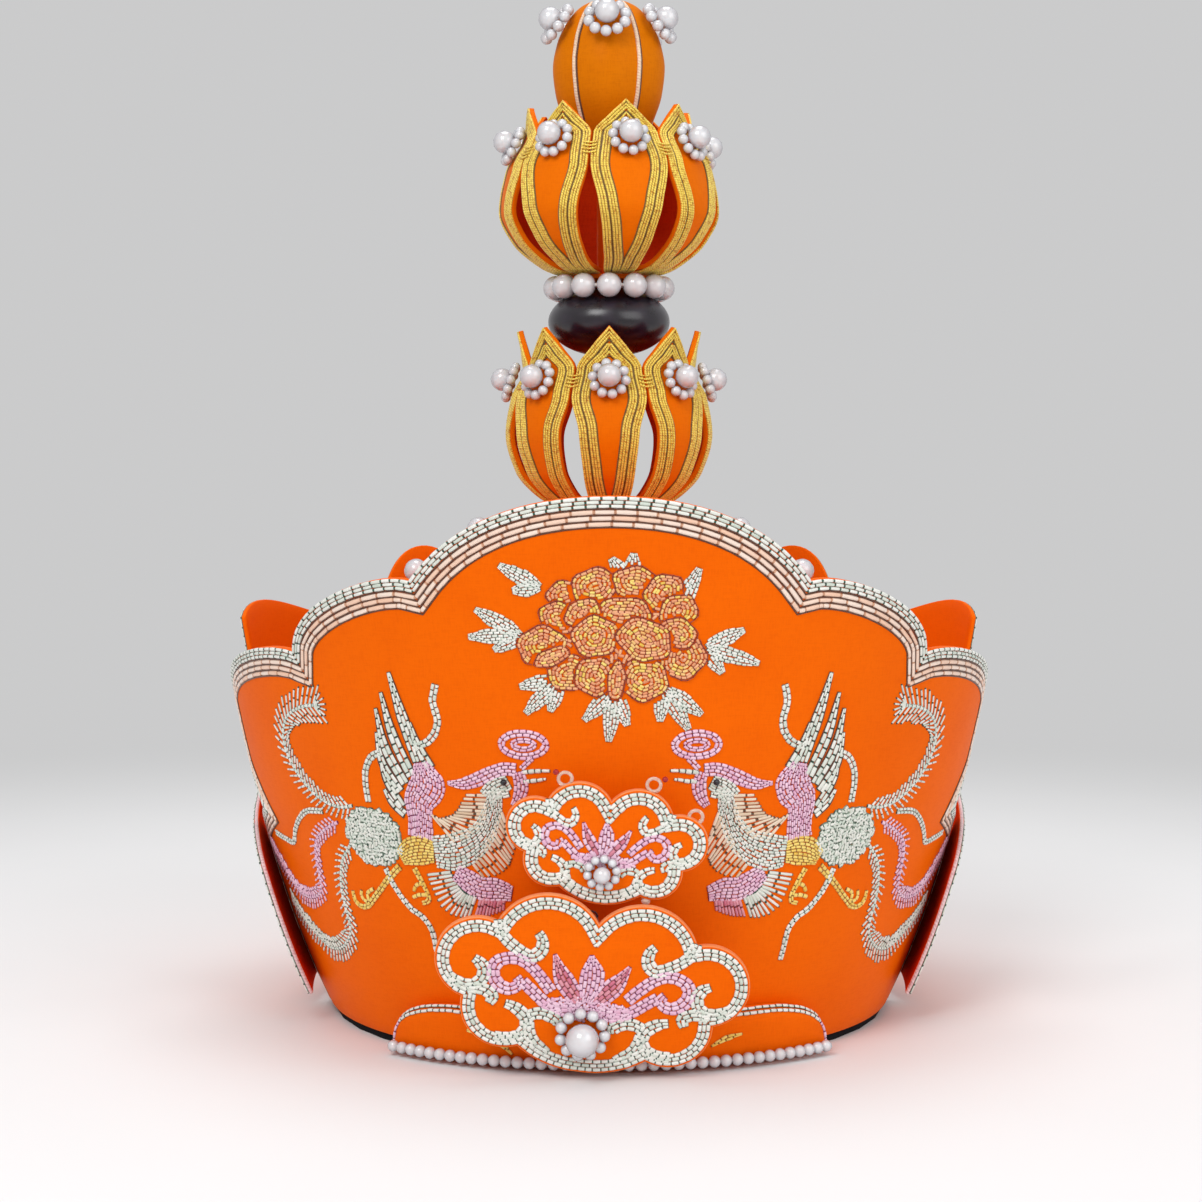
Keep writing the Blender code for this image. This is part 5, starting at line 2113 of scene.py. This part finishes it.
    def add_spring(self) -> None:
        """Build the coil spring behind the plate."""
        foot = self.wall.at(0, self.level + self.spring_share * self.height)
        out, across = self.face.normal(0, 0), Vector((1, 0, 0))
        reach = self.stand_off - self.thickness / 2 - 2 * SEAT - self.wire
        count = round(reach / self.coil_pitch) * self.coil_steps
        up = out.cross(across)
        line = []
        for step in range(count + 1):
            turn = 2 * math.pi * step / self.coil_steps
            line.append(foot + across * (self.shift + self.coil * math.cos(turn))
                        + up * self.coil * math.sin(turn)
                        + out * (SEAT + self.wire / 2 + reach * step / count))
        lay_cords(self.name + "_coil", [line], self.wire / 2, Cord.WIRE, 8, [self.name + "_spring"])

    def set_flower(self) -> None:
        """Set the plate's pearl flower."""
        points = Points()
        across, up, out = self.frame.to_3x3().col
        share, shift = self.flower_place
        seat = self.frame.translation + out * (self.thickness / 2 + SEAT)
        seat = seat + up * (share * self.height) + across * shift
        self.flower.add(points, seat, out)
        string_beads(self.name + "_pearls", points, [self.name + "_flower"], detail=(16, 10))

    def build(self) -> None:
        """Build the plate with its embroidery, spring and flower."""
        self.build_card()
        self.embroider()
        self.add_spring()
        self.set_flower()

    def add_fastenings(self) -> None:
        """Sew small clear loops with red tips and clear drops on the plate's edge."""
        across, up, out = self.frame.to_3x3().col
        rings = []
        for x, z in mirrored(PLATE_LOOPS, 1):
            middle = self.frame @ Vector((x, z, 0))
            rings.append([middle + (across * math.cos(turn) + up * math.sin(turn)) * self.loop
                          for turn in (step * math.pi / 9 for step in range(19))])
        lay_cords(self.name + "_loops", rings, 0.55 * MM, Cord.LOOP, 6)
        for title, places, size, bead in (("tips", PLATE_TIPS, 1.7 * MM, Bead.TIP),
                                          ("drops", PLATE_DROPS, 2.6 * MM, Bead.DROP)):
            points = Points()
            for x, z in mirrored(places, 1):
                points.add(self.frame @ Vector((x, z, 0)), across, out, size)
            string_beads(f"{self.name}_{title}", points, bead=bead, detail=(12, 8))


BROW_LEAVES = (
    ((-24.0, 10.8), (-22.5, 10.6), (-21.0, 10.1)),
    ((-20.7, 9.9), (-18.2, 7.8), (-16.3, 4.7)),
    ((16.8, 7.1), (19.4, 9.2), (22.1, 10.0)),
)

PLATE_HEART = ((-0.62, 0.33), (-0.60, 0.26), (-0.55, 0.21), (-0.48, 0.17), (-0.41, 0.14), (-0.36, 0.15),
               (-0.33, 0.20), (-0.34, 0.25), (-0.37, 0.28))
PLATE_SIDE = ((-0.90, -0.03), (-0.83, -0.06), (-0.76, -0.07), (-0.70, -0.05), (-0.67, 0.01),
              (-0.69, 0.06), (-0.75, 0.09))
PLATE_KNOT = ((-0.77, -0.09), (-0.71, -0.08), (-0.64, -0.09), (-0.60, -0.12), (-0.62, -0.16))
PLATE_LOWER = ((-0.56, -0.35), (-0.48, -0.35), (-0.41, -0.33), (-0.37, -0.28), (-0.37, -0.23),
               (-0.41, -0.19), (-0.47, -0.16), (-0.52, -0.15))
PLATE_BOTTOM = ((-0.36, -0.24), (-0.34, -0.31), (-0.29, -0.37), (-0.21, -0.41))
PLATE_INNER = ((-0.37, -0.21), (-0.30, -0.18), (-0.23, -0.19), (-0.17, -0.22), (-0.18, -0.25))
PLATE_RIBBON = ((-0.24, -0.05), (-0.31, 0.02), (-0.40, 0.09), (-0.49, 0.12), (-0.58, 0.10), (-0.62, 0.06),
                (-0.61, -0.01), (-0.55, -0.06), (-0.48, -0.06), (-0.44, -0.02), (-0.47, 0.01))
PLATE_TAIL = ((-0.43, -0.01), (-0.37, -0.05), (-0.30, -0.10), (-0.22, -0.14), (-0.13, -0.15),
              (-0.05, -0.12))
PLATE_MID_PETAL = ((-0.02, 0.19), (0.0, 0.09), (0.0, 0.0), (-0.02, -0.09))
PLATE_SIDE_PETAL = ((-0.25, 0.17), (-0.18, 0.04), (-0.06, -0.09))
PLATE_RIGHT_PETAL = ((0.23, 0.15), (0.16, 0.04), (0.04, -0.09))
PLATE_LOOPS = ((-13.7, 17.3), (11.1, 18.8), (24.0, 11.2))
PLATE_TIPS = ((-16.5, 18.9), (14.0, 20.8))
PLATE_DROPS = ((13.4, -14.9), (-17.2, -12.5))

PHOENIX_WING = (
    (((-60.9, 115.3), (-58.4, 103.7), (-54.5, 89.3)), (0.9, 3.4, 3.4)),
    (((-64.2, 109.3), (-61.9, 96.8), (-57.2, 85.0)), (0.9, 3.2, 3.2)),
    (((-66.6, 104.5), (-64.9, 92.8), (-59.6, 82.5)), (0.9, 3.0, 3.0)),
    (((-67.3, 97.4), (-66.6, 88.3), (-61.6, 80.2)), (0.9, 2.6, 2.8)),
    (((-66.9, 88.6), (-66.2, 83.4), (-61.4, 75.6)), (0.9, 2.4, 2.6)),
    (((-67.2, 80.6), (-65.2, 76.8), (-61.0, 73.4)), (0.9, 2.4, 2.6)),
    (((-55.9, 100.9), (-54.2, 94.3), (-50.8, 87.7)), (0.9, 2.8, 3.0)),
)
PHOENIX_STROKES = (
    (Thread.SILVER, ((-34.8, 79.8), (-31.4, 82.8), (-27.8, 84.6)), (4.6, 5.6, 3.6)),
    (Thread.PINK, ((-53.8, 89.3), (-52.7, 82.6), (-55.9, 77.7), (-56.1, 72.1), (-56.9, 66.7)),
     (4.1, 10.6, 8.8, 7.1, 7.6)),
    (Thread.SILVER, ((-32.5, 82.1), (-32.4, 79.2), (-33.6, 74.8), (-36.2, 69.7), (-40.8, 65.6),
                     (-46.8, 63.2), (-52.8, 62.8)), (3.5, 5.0, 5.9, 7.6, 9.1, 10.0, 8.2)),
    (Thread.PINK, ((-46.0, 83.6), (-41.4, 83.5), (-37.2, 84.9), (-33.3, 86.8), (-29.2, 88.3),
                   (-25.6, 88.1)), (0.9, 2.9, 3.8, 3.8, 3.5, 3.5)),
    (Thread.PINK, ((-25.3, 87.6), (-24.4, 83.8), (-25.2, 80.3), (-27.0, 77.6)), (2.9, 3.8, 3.5, 1.8)),
    (Thread.SILVER, ((-33.0, 82.1), (-30.2, 81.0), (-27.9, 81.4)), (2.4, 2.6, 2.1)),
    (Thread.SILVER, ((-24.2, 87.3), (-20.3, 88.0), (-16.2, 88.1)), (1.3, 1.3, 0.7)),
    (Thread.SILVER, ((-23.8, 84.7), (-20.4, 85.1), (-17.4, 85.7)), (1.3, 1.2, 0.7)),
    (Thread.PINK, ((-21.0, 91.7), (-22.7, 90.0), (-24.2, 88.5)), (1.5, 1.5)),
    (Thread.SILVER, ((-46.9, 112.3), (-48.2, 107.4), (-47.2, 102.2), (-48.2, 98.4), (-50.9, 95.3),
                     (-54.5, 94.0)), (2.1, 2.1)),
    (Thread.SILVER, ((-66.8, 91.5), (-70.6, 89.8), (-73.2, 86.0), (-74.1, 81.5), (-74.0, 76.1)),
     (2.1, 2.1)),
    (Thread.SILVER, ((-95.3, 71.5), (-104.1, 70.6), (-110.4, 67.4), (-115.7, 62.7), (-118.5, 59.3),
                     (-126.0, 59.6), (-135.3, 60.3)), (1.8, 1.8)),
    (Thread.SILVER, ((-71.7, 56.5), (-69.2, 50.7), (-64.7, 45.1), (-61.0, 43.0), (-58.1, 39.3),
                     (-57.7, 34.5), (-57.2, 30.0)), (1.8, 1.8)),
    (Thread.PINK, ((-46.6, 57.3), (-42.4, 54.6), (-38.8, 52.7), (-33.8, 52.7), (-29.2, 51.7)),
     (4.7, 6.5, 6.5, 6.5, 4.1)),
    (Thread.GOLD, ((-65.1, 60.1), (-61.2, 62.2), (-56.8, 63.1), (-52.8, 62.8)), (4.1, 7.6, 8.2, 5.9)),
    (Thread.GOLD, ((-66.0, 57.6), (-71.8, 52.9), (-77.8, 47.7), (-82.5, 43.9)), (2.1, 1.8)),
    (Thread.GOLD, ((-88.6, 48.0), (-88.4, 44.7), (-85.6, 43.2), (-82.0, 44.2)), (1.2, 1.8)),
    (Thread.GOLD, ((-84.2, 48.6), (-85.0, 46.0), (-82.6, 45.1)), (1.2, 1.2)),
    (Thread.GOLD, ((-78.5, 49.5), (-82.0, 47.9), (-81.9, 45.4)), (1.2, 1.2)),
    (Thread.GOLD, ((-60.7, 57.5), (-59.1, 54.3), (-57.3, 50.2), (-57.1, 47.8), (-59.8, 47.0)),
     (1.8, 1.2)),
    (Thread.GOLD, ((-62.3, 50.4), (-60.8, 52.6), (-58.7, 52.8)), (1.2, 1.2)),
    (Thread.GOLD, ((-63.1, 48.5), (-60.4, 49.4), (-57.8, 49.6)), (1.2, 1.2)),
)
PHOENIX_FEATHERS = (
    (Thread.CREAM, (((-35.8, 80.3), (-40.9, 80.3)), ((-36.3, 77.9), (-42.7, 77.9)),
                    ((-36.8, 75.8), (-44.0, 75.8)), ((-37.6, 73.7), (-45.8, 74.2)),
                    ((-39.7, 71.0), (-48.1, 73.5)), ((-43.0, 68.8), (-50.3, 73.1)),
                    ((-47.1, 67.9), (-52.5, 74.4)), ((-30.2, 74.3), (-28.5, 68.8)),
                    ((-31.2, 71.4), (-27.3, 64.7)), ((-32.6, 68.7), (-28.4, 61.7)),
                    ((-34.1, 66.2), (-29.1, 60.0)), ((-35.5, 63.5), (-31.1, 58.1)),
                    ((-37.6, 61.1), (-33.7, 56.8)), ((-39.9, 59.2), (-37.5, 56.0)))),
    (Thread.SILVER, (((-50.0, 56.8), (-56.6, 55.7)), ((-49.0, 54.7), (-56.1, 53.0)),
                     ((-48.0, 52.4), (-54.9, 49.8)), ((-46.9, 50.7), (-53.5, 46.3)),
                     ((-45.4, 49.6), (-50.4, 44.2)), ((-43.5, 49.1), (-47.0, 43.5)),
                     ((-41.6, 48.9), (-44.2, 43.7)))),
    (Thread.ROSE, (((-39.6, 48.8), (-41.9, 44.1)), ((-37.7, 48.9), (-39.5, 44.3)),
                   ((-35.8, 48.7), (-37.2, 44.7)), ((-33.8, 48.8), (-34.8, 45.5)),
                   ((-32.0, 49.2), (-32.5, 46.5)))),
)
PHOENIX_PLUMES = (
    (Thread.SILVER, ((-80.8, 74.4), (-86.6, 73.5), (-94.1, 74.9), (-102.4, 79.6), (-107.7, 85.6),
                     (-109.7, 91.2), (-107.8, 96.6), (-103.7, 100.2), (-97.3, 102.8), (-90.5, 103.9)),
     3.8),
    (Thread.PINK, ((-88.8, 68.8), (-96.7, 65.5), (-102.9, 61.2), (-105.1, 55.0), (-105.6, 50.3),
                   (-107.4, 45.7), (-114.2, 42.6), (-124.2, 42.5), (-131.7, 45.5), (-139.8, 49.8),
                   (-150.6, 54.0)), 2.9),
    (Thread.SILVER, ((-84.9, 62.2), (-90.1, 57.4), (-92.8, 52.5), (-94.3, 47.4), (-94.6, 42.1),
                     (-94.7, 36.8), (-96.8, 32.8), (-104.2, 28.3), (-113.0, 27.1), (-120.8, 29.3),
                     (-129.5, 32.4), (-137.4, 36.0)), 3.2),
)


@dataclass
class Phoenix:
    """A phoenix in couched stitches on the front panel, facing the middle.

    Its tables are in millimetres for the bird on the left, and side 1 is that one.
    """

    surface: Surface
    side: int
    title: str
    body: Place = (-74.5, 65.8)
    body_size: Place = (22 * MM, 17.5 * MM)
    eye: Place = (-29.2, 84.6)
    crest: Place = (-23.3, 95.5)
    crest_rings: Sequence[tuple[float, float, float]] = ((6.2, 3.4, 2.1), (3.2, 1.3, 1.6))
    barb_gap: float = 6 * MM
    rough_from: float = 9.5

    def embroider_feathers(self, work: Embroidery) -> None:
        """Lay the short feathers, each pair with one between them, and the wing with dark cords beside its
        strokes as painted shade.

        Args:
            work: Where the bird's stitches are gathered.
        """
        for thread, pairs in PHOENIX_FEATHERS:
            barbs = [[Vector(place) for place in mirrored(pair, self.side)] for pair in pairs]
            close = [[a.lerp(c, 0.5), b.lerp(d, 0.5)] for (a, b), (c, d) in zip(barbs, barbs[1:])
                     if (a - c).length < self.barb_gap]
            for root, tip in barbs + close:
                work.feather(thread, root.lerp(tip, -0.32), root.lerp(tip, 0.98), 1.15 * MM)
        edges = []
        wing = Embroidery(self.surface, pitch=3.0 * MM, row=1.45 * MM, seed=12, threads=work.threads)
        for spine, widths in PHOENIX_WING:
            line = mirrored(spine, self.side)
            wing.stroke(Thread.SILVER, line, [width * 1.08 * MM for width in widths])
            # painted shade: dark cords along both edges of every wing stroke
            edges += [work.beside(line, [width * edge * MM for width in widths]) for edge in (-0.53, 0.53)]
        lay_cords(self.title + "_wing_lines", edges, 0.2 * MM, Cord.UMBER, 5)

    def build(self) -> None:
        """Couch the whole bird."""
        work = Embroidery(self.surface, seed=31 + self.side)
        for thread, spine, barb in PHOENIX_PLUMES:
            work.plume(thread, mirrored(spine, self.side), barb * MM)
        work.seeds(Thread.SILVER, mirrored([self.body], self.side)[0], self.body_size, Thread.MOSS)
        self.embroider_feathers(work)
        for thread, spine, widths in PHOENIX_STROKES:
            work.wobble = 0.22 if max(widths) > self.rough_from else 0.07
            work.stroke(thread, mirrored(spine, self.side), [width * 1.12 * MM for width in widths])
        turns = [step * math.pi / 6 for step in range(12)]
        for across, up, width in self.crest_rings:
            ring = [(self.crest[0] + across * math.cos(turn), self.crest[1] + up * math.sin(turn))
                    for turn in turns]
            work.stroke(Thread.PINK, mirrored(ring, self.side), (width * MM,) * 2, True)
        work.make(self.title)
        eye = Points()
        spot = mirrored([self.eye], self.side)[0]
        normal = self.surface.normal(*spot)
        eye.add(self.surface.place(*spot, 0.7 * MM), normal.orthogonal().normalized(), normal, 1.9 * MM)
        string_beads(self.title + "_eye", eye, bead=Bead.JET, detail=(14, 8))


PEONY_PETALS = (
    ((-11.6, 138.6), (9.5, 8.0), 30), ((-3.8, 140.9), (12.4, 10.7), 20),
    ((6.3, 141.8), (12.4, 9.8), -10), ((13.3, 139.1), (10.0, 11.6), -40),
    ((-13.1, 131.9), (9.5, 10.5), 60), ((17.1, 133.7), (10.0, 10.7), -50),
    ((-17.4, 123.9), (13.4, 11.8), 15), ((18.7, 120.6), (12.4, 13.4), -25),
    ((-10.4, 116.2), (12.4, 10.5), 20), ((-3.8, 115.3), (11.6, 11.6), 70),
    ((8.6, 114.3), (13.4, 12.7), -15), ((1.6, 114.0), (12.0, 5.2), 85),
    ((17.1, 127.5), (10.8, 8.9), -35), ((-14.8, 120.8), (11.0, 5.4), 25),
    ((3.2, 133.2), (14.7, 9.8), 0), ((-6.9, 133.2), (10.5, 8.2), 35),
    ((-3.8, 126.6), (12.6, 12.2), 35), ((8.6, 125.7), (15.2, 12.2), -30),
)
LEAVES = (
    ((-22.5, 126.9), (-34.4, 134.1), (-36.6, 126.1), (-30.0, 122.5)),
    ((-13.0, 114.4), (-23.6, 112.2), (-22.3, 104.5), (-15.7, 105.1)),
    ((0.9, 111.0), (-6.9, 102.7), (-0.4, 96.6), (4.6, 101.2)),
    ((13.8, 112.1), (13.0, 102.3), (20.8, 99.9), (24.2, 104.1)),
    ((23.9, 123.4), (34.5, 128.2), (39.1, 118.5), (29.2, 115.9)),
    ((-17.3, 140.6), (-27.6, 146.7), (-24.4, 139.4)),
    ((16.9, 133.5), (22.0, 145.9), (19.1, 142.0)),
    ((4.8, 142.0), (0.2, 148.8), (5.7, 150.2)),
)


@dataclass
class Peony:
    """The peony over the middle with its leaves."""

    surface: Surface
    heart: Place = (1.0 * MM, 126.5 * MM)
    heart_size: Place = (38 * MM, 26 * MM)
    leaf_widths: Sequence[float] = (1.8 * MM, 4.8 * MM, 4.2 * MM, 1.6 * MM)

    def build(self) -> None:
        """Couch the leaves, the heart's seeds and the petals, each under the next."""
        ovals = [Oval((centre[0] * MM, centre[1] * MM), (size[0] * MM, size[1] * MM), tilt)
                 for centre, size, tilt in PEONY_PETALS]
        work = Embroidery(self.surface, pitch=1.6 * MM, row=0.9 * MM, seed=47, wobble=0.18, covers=ovals)
        for base, *tips in LEAVES:
            for tip in tips:
                low, high = Vector(base) * MM, Vector(tip) * MM
                spine = [tuple(low), tuple(low.lerp(high, 0.45)), tuple(high)]
                work.stroke(Thread.SILVER, spine, self.leaf_widths, inner=Thread.WHITE)
        work.seeds(Thread.PEACH, self.heart, self.heart_size)
        fill = (Thread.PEACH, Thread.PEACH, Thread.AMBER, Thread.PEACH, Thread.AMBER, Thread.GOLD)
        for index, oval in enumerate(ovals):
            work.covers = ovals[index + 1:]
            work.petal(oval, Thread.WINE, fill)
        work.make("peony")


@dataclass(frozen=True)
class Studio:
    """Pale floor and backdrop, soft lights and the photo's camera."""

    centre: float
    lens: float = 74.875
    distance: float = 0.820
    eye: float = 0.1705
    aside: float = -0.0026
    pitch: float = 2.77
    grey: Colour = (0.597, 0.597, 0.6)
    floor_radius: float = 4.0
    aim_height: float = 0.12
    lamps: Sequence[tuple[str, tuple[float, float, float], float, float]] = (
        ("key_light", (-0.55, -1.1, 1.15), 0.7, 10.0),
        ("fill_light", (0.9, -0.9, 0.7), 0.9, 5.0),
        ("top_light", (0.0, 0.2, 1.5), 0.8, 6.0),
    )

    def lay_floor(self) -> None:
        """Lay a large pale disc that the crown stands on and that fades into the backdrop."""
        bm = bmesh.new()
        bmesh.ops.create_circle(bm, cap_ends=True, segments=96, radius=self.floor_radius)
        material, board, shader = start_material("pale_floor", (0.6, 0.6, 0.6))
        place = board.place()
        tint = board.blend(board.noise(place, 6.0, 3.0), (0.80, 0.80, 0.805), (0.84, 0.84, 0.845))
        board.feed(shader, Base_Color=tint, Roughness=0.8, Specular_IOR_Level=0.2)
        reach = board.add("ShaderNodeVectorMath", {"operation": "DISTANCE"}, i0=place,
                          i1=(0.0, self.centre, 0.0))
        glow = board.add("ShaderNodeEmission", Color=self.grey, Strength=1.0)
        joined = board.add("ShaderNodeMixShader", i0=board.ramp(reach.outputs["Value"], 0.30, 0.85),
                           i1=shader.outputs[0], i2=glow.outputs[0])
        board.feed(material.node_tree.nodes["Material Output"], Surface=joined.outputs[0])
        finish_mesh("floor", bm, [material])

    def hang_lamps(self) -> None:
        """Hang soft square lights that aim at the crown."""
        aim = Vector((0, self.centre, self.aim_height))
        for name, place, size, power in self.lamps:
            light = bpy.data.lights.new(name, "AREA")
            light.size = size
            light.energy = power
            lamp = bpy.data.objects.new(name, light)
            lamp.location = place
            lamp.rotation_euler = (aim - Vector(place)).to_track_quat("-Z", "Y").to_euler()
            bpy.context.scene.collection.objects.link(lamp)

    def set_camera(self) -> None:
        """Set the camera where the photo was taken from."""
        data = bpy.data.cameras.new("photo_camera")
        data.sensor_width = 36.0
        data.lens = self.lens
        data.clip_start = 0.01
        data.clip_end = 50.0
        camera = bpy.data.objects.new("photo_camera", data)
        camera.location = (self.aside, self.centre - self.distance, self.eye)
        camera.rotation_euler = (math.radians(90 - self.pitch), 0.0, 0.0)
        bpy.context.scene.collection.objects.link(camera)
        bpy.context.scene.camera = camera

    def build(self) -> None:
        """Build the studio."""
        self.lay_floor()
        world = bpy.data.worlds.new("pale_studio")
        world.use_nodes = True
        Board(world.node_tree).feed(world.node_tree.nodes["Background"], Color=self.grey, Strength=1.0)
        bpy.context.scene.world = world
        self.hang_lamps()
        self.set_camera()
        bpy.context.scene.view_settings.view_transform = "Standard"


FRONT_LOBES = (
    ((0.0, 1.0), (13.0, 1.0), (21.5, 0.934), (26.5, 0.855)),
    ((26.5, 0.855), (31.0, 0.8735), (48.5, 0.807), (49.0, 0.720)),
    ((49.0, 0.720), (54.0, 0.738), (74.0, 0.705), (82.0, 0.633)),
)
BACK_LOBES = (
    ((0.0, 1.0), (13.0, 1.0), (21.5, 0.934), (26.5, 0.855)),
    ((26.5, 0.855), (30.0, 0.915), (39.0, 0.925), (42.0, 0.710)),
    ((42.0, 0.710), (52.0, 0.720), (71.0, 0.845), (80.0, 0.758)),
)
FRONT_EDGE = ((0.0, 86.0), (0.16, 86.0), (0.30, 86.0), (0.355, 84.0), (0.405, 74.0), (0.47, 80.0),
              (0.575, 82.0))
BACK_EDGE = ((0.0, 113.0), (0.16, 115.5), (0.30, 114.0), (0.365, 104.0), (0.42, 86.0), (0.50, 79.0),
             (0.60, 80.0))
LOWER_PETAL = ((0.0, 0.27, 19.0), (0.02, 0.50, 18.0), (0.09, 0.72, 17.0), (0.21, 0.90, 16.0),
               (0.42, 1.0, 16.8), (0.62, 0.955, 21.8), (0.77, 0.83, 21.9), (0.88, 0.845, 12.5),
               (1.0, 0.885, 0.0))
UPPER_PETAL = ((0.0, 0.25, 19.0), (0.015, 0.48, 17.5), (0.08, 0.68, 15.5), (0.20, 0.88, 15.5),
               (0.375, 1.0, 17.0), (0.63, 0.935, 21.9), (0.80, 0.785, 21.9), (0.90, 0.750, 12.5),
               (1.0, 0.745, 0.0))


def dress_node(node: bpy.types.Object, finish: Finish) -> None:
    """Give a solid that stays in view its material."""
    node.data.materials.clear()
    node.data.materials.append(material_of(finish))


def main() -> None:
    """Dress the crown piece by piece."""
    logging.basicConfig(level=logging.INFO, format="%(message)s")
    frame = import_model()
    low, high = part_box("rim_lining")
    centre = (low.y + high.y) / 2
    low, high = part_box("neck_pearls")
    neck = (low.z + high.z) / 2
    wall = FlaredWall(centre)
    dress_node(frame["nodes"]["rim_lining"], BLACK_CLOTH)
    dress_node(frame["nodes"]["finial_post"], ORANGE)

    front = CloudPanel("front_panel", wall, FRONT_LOBES, FRONT_EDGE, 166 * MM, 0.405, 2.5 * MM)
    rear = CloudPanel("back_panel", BackWall(wall), BACK_LOBES, BACK_EDGE, 164 * MM, 0.50, 1.5 * MM, 7 * MM,
                      edge_thread=82 * MM)
    for panel in (front, rear):
        panel.build()
        panel.trim()
    cap = SkullCap(centre)
    cap.build()
    cap.set_flowers()
    brow = BrowBand(wall)
    brow.build()
    brow.trim()
    brow.string()

    CloudPlate("lower_cloud_plate", wall, 89.8 * MM, 51.5 * MM, 30.2 * MM, -5.6 * MM, 14 * MM, 0.30,
               Flower(9.6 * MM, 6.3 * MM, 3.4 * MM, 11, 6.0 * MM), (-0.263, -0.5 * MM)).build()
    upper = CloudPlate("upper_cloud_plate", wall, 56.3 * MM, 34.8 * MM, 69.8 * MM, -1.3 * MM, 10 * MM, 0.0,
                       Flower(4.9 * MM, 4.1 * MM, 2.6 * MM, 10, 3.6 * MM), (-0.22, 0.0))
    upper.build()
    upper.add_fastenings()

    for side, title in ((1, "left_phoenix"), (-1, "right_phoenix")):
        Phoenix(wall, side, title).build()
    Peony(wall).build()

    lower_foot = 159 * MM + SEAT + 1.5 * MM + SEAT
    upper_foot = neck + 4 * MM + SEAT
    cups = (
        Cup("lower", Petal(LOWER_PETAL, lower_foot, 58 * MM, 33.3 * MM, centre), 0.0, 0.70),
        Cup("upper", Petal(UPPER_PETAL, upper_foot, 53.5 * MM, 35.2 * MM, centre), 11.5, 0.75),
    )
    Finial(centre, neck, cups).build()
    Studio(centre).build()


if __name__ == "__main__":
    main()
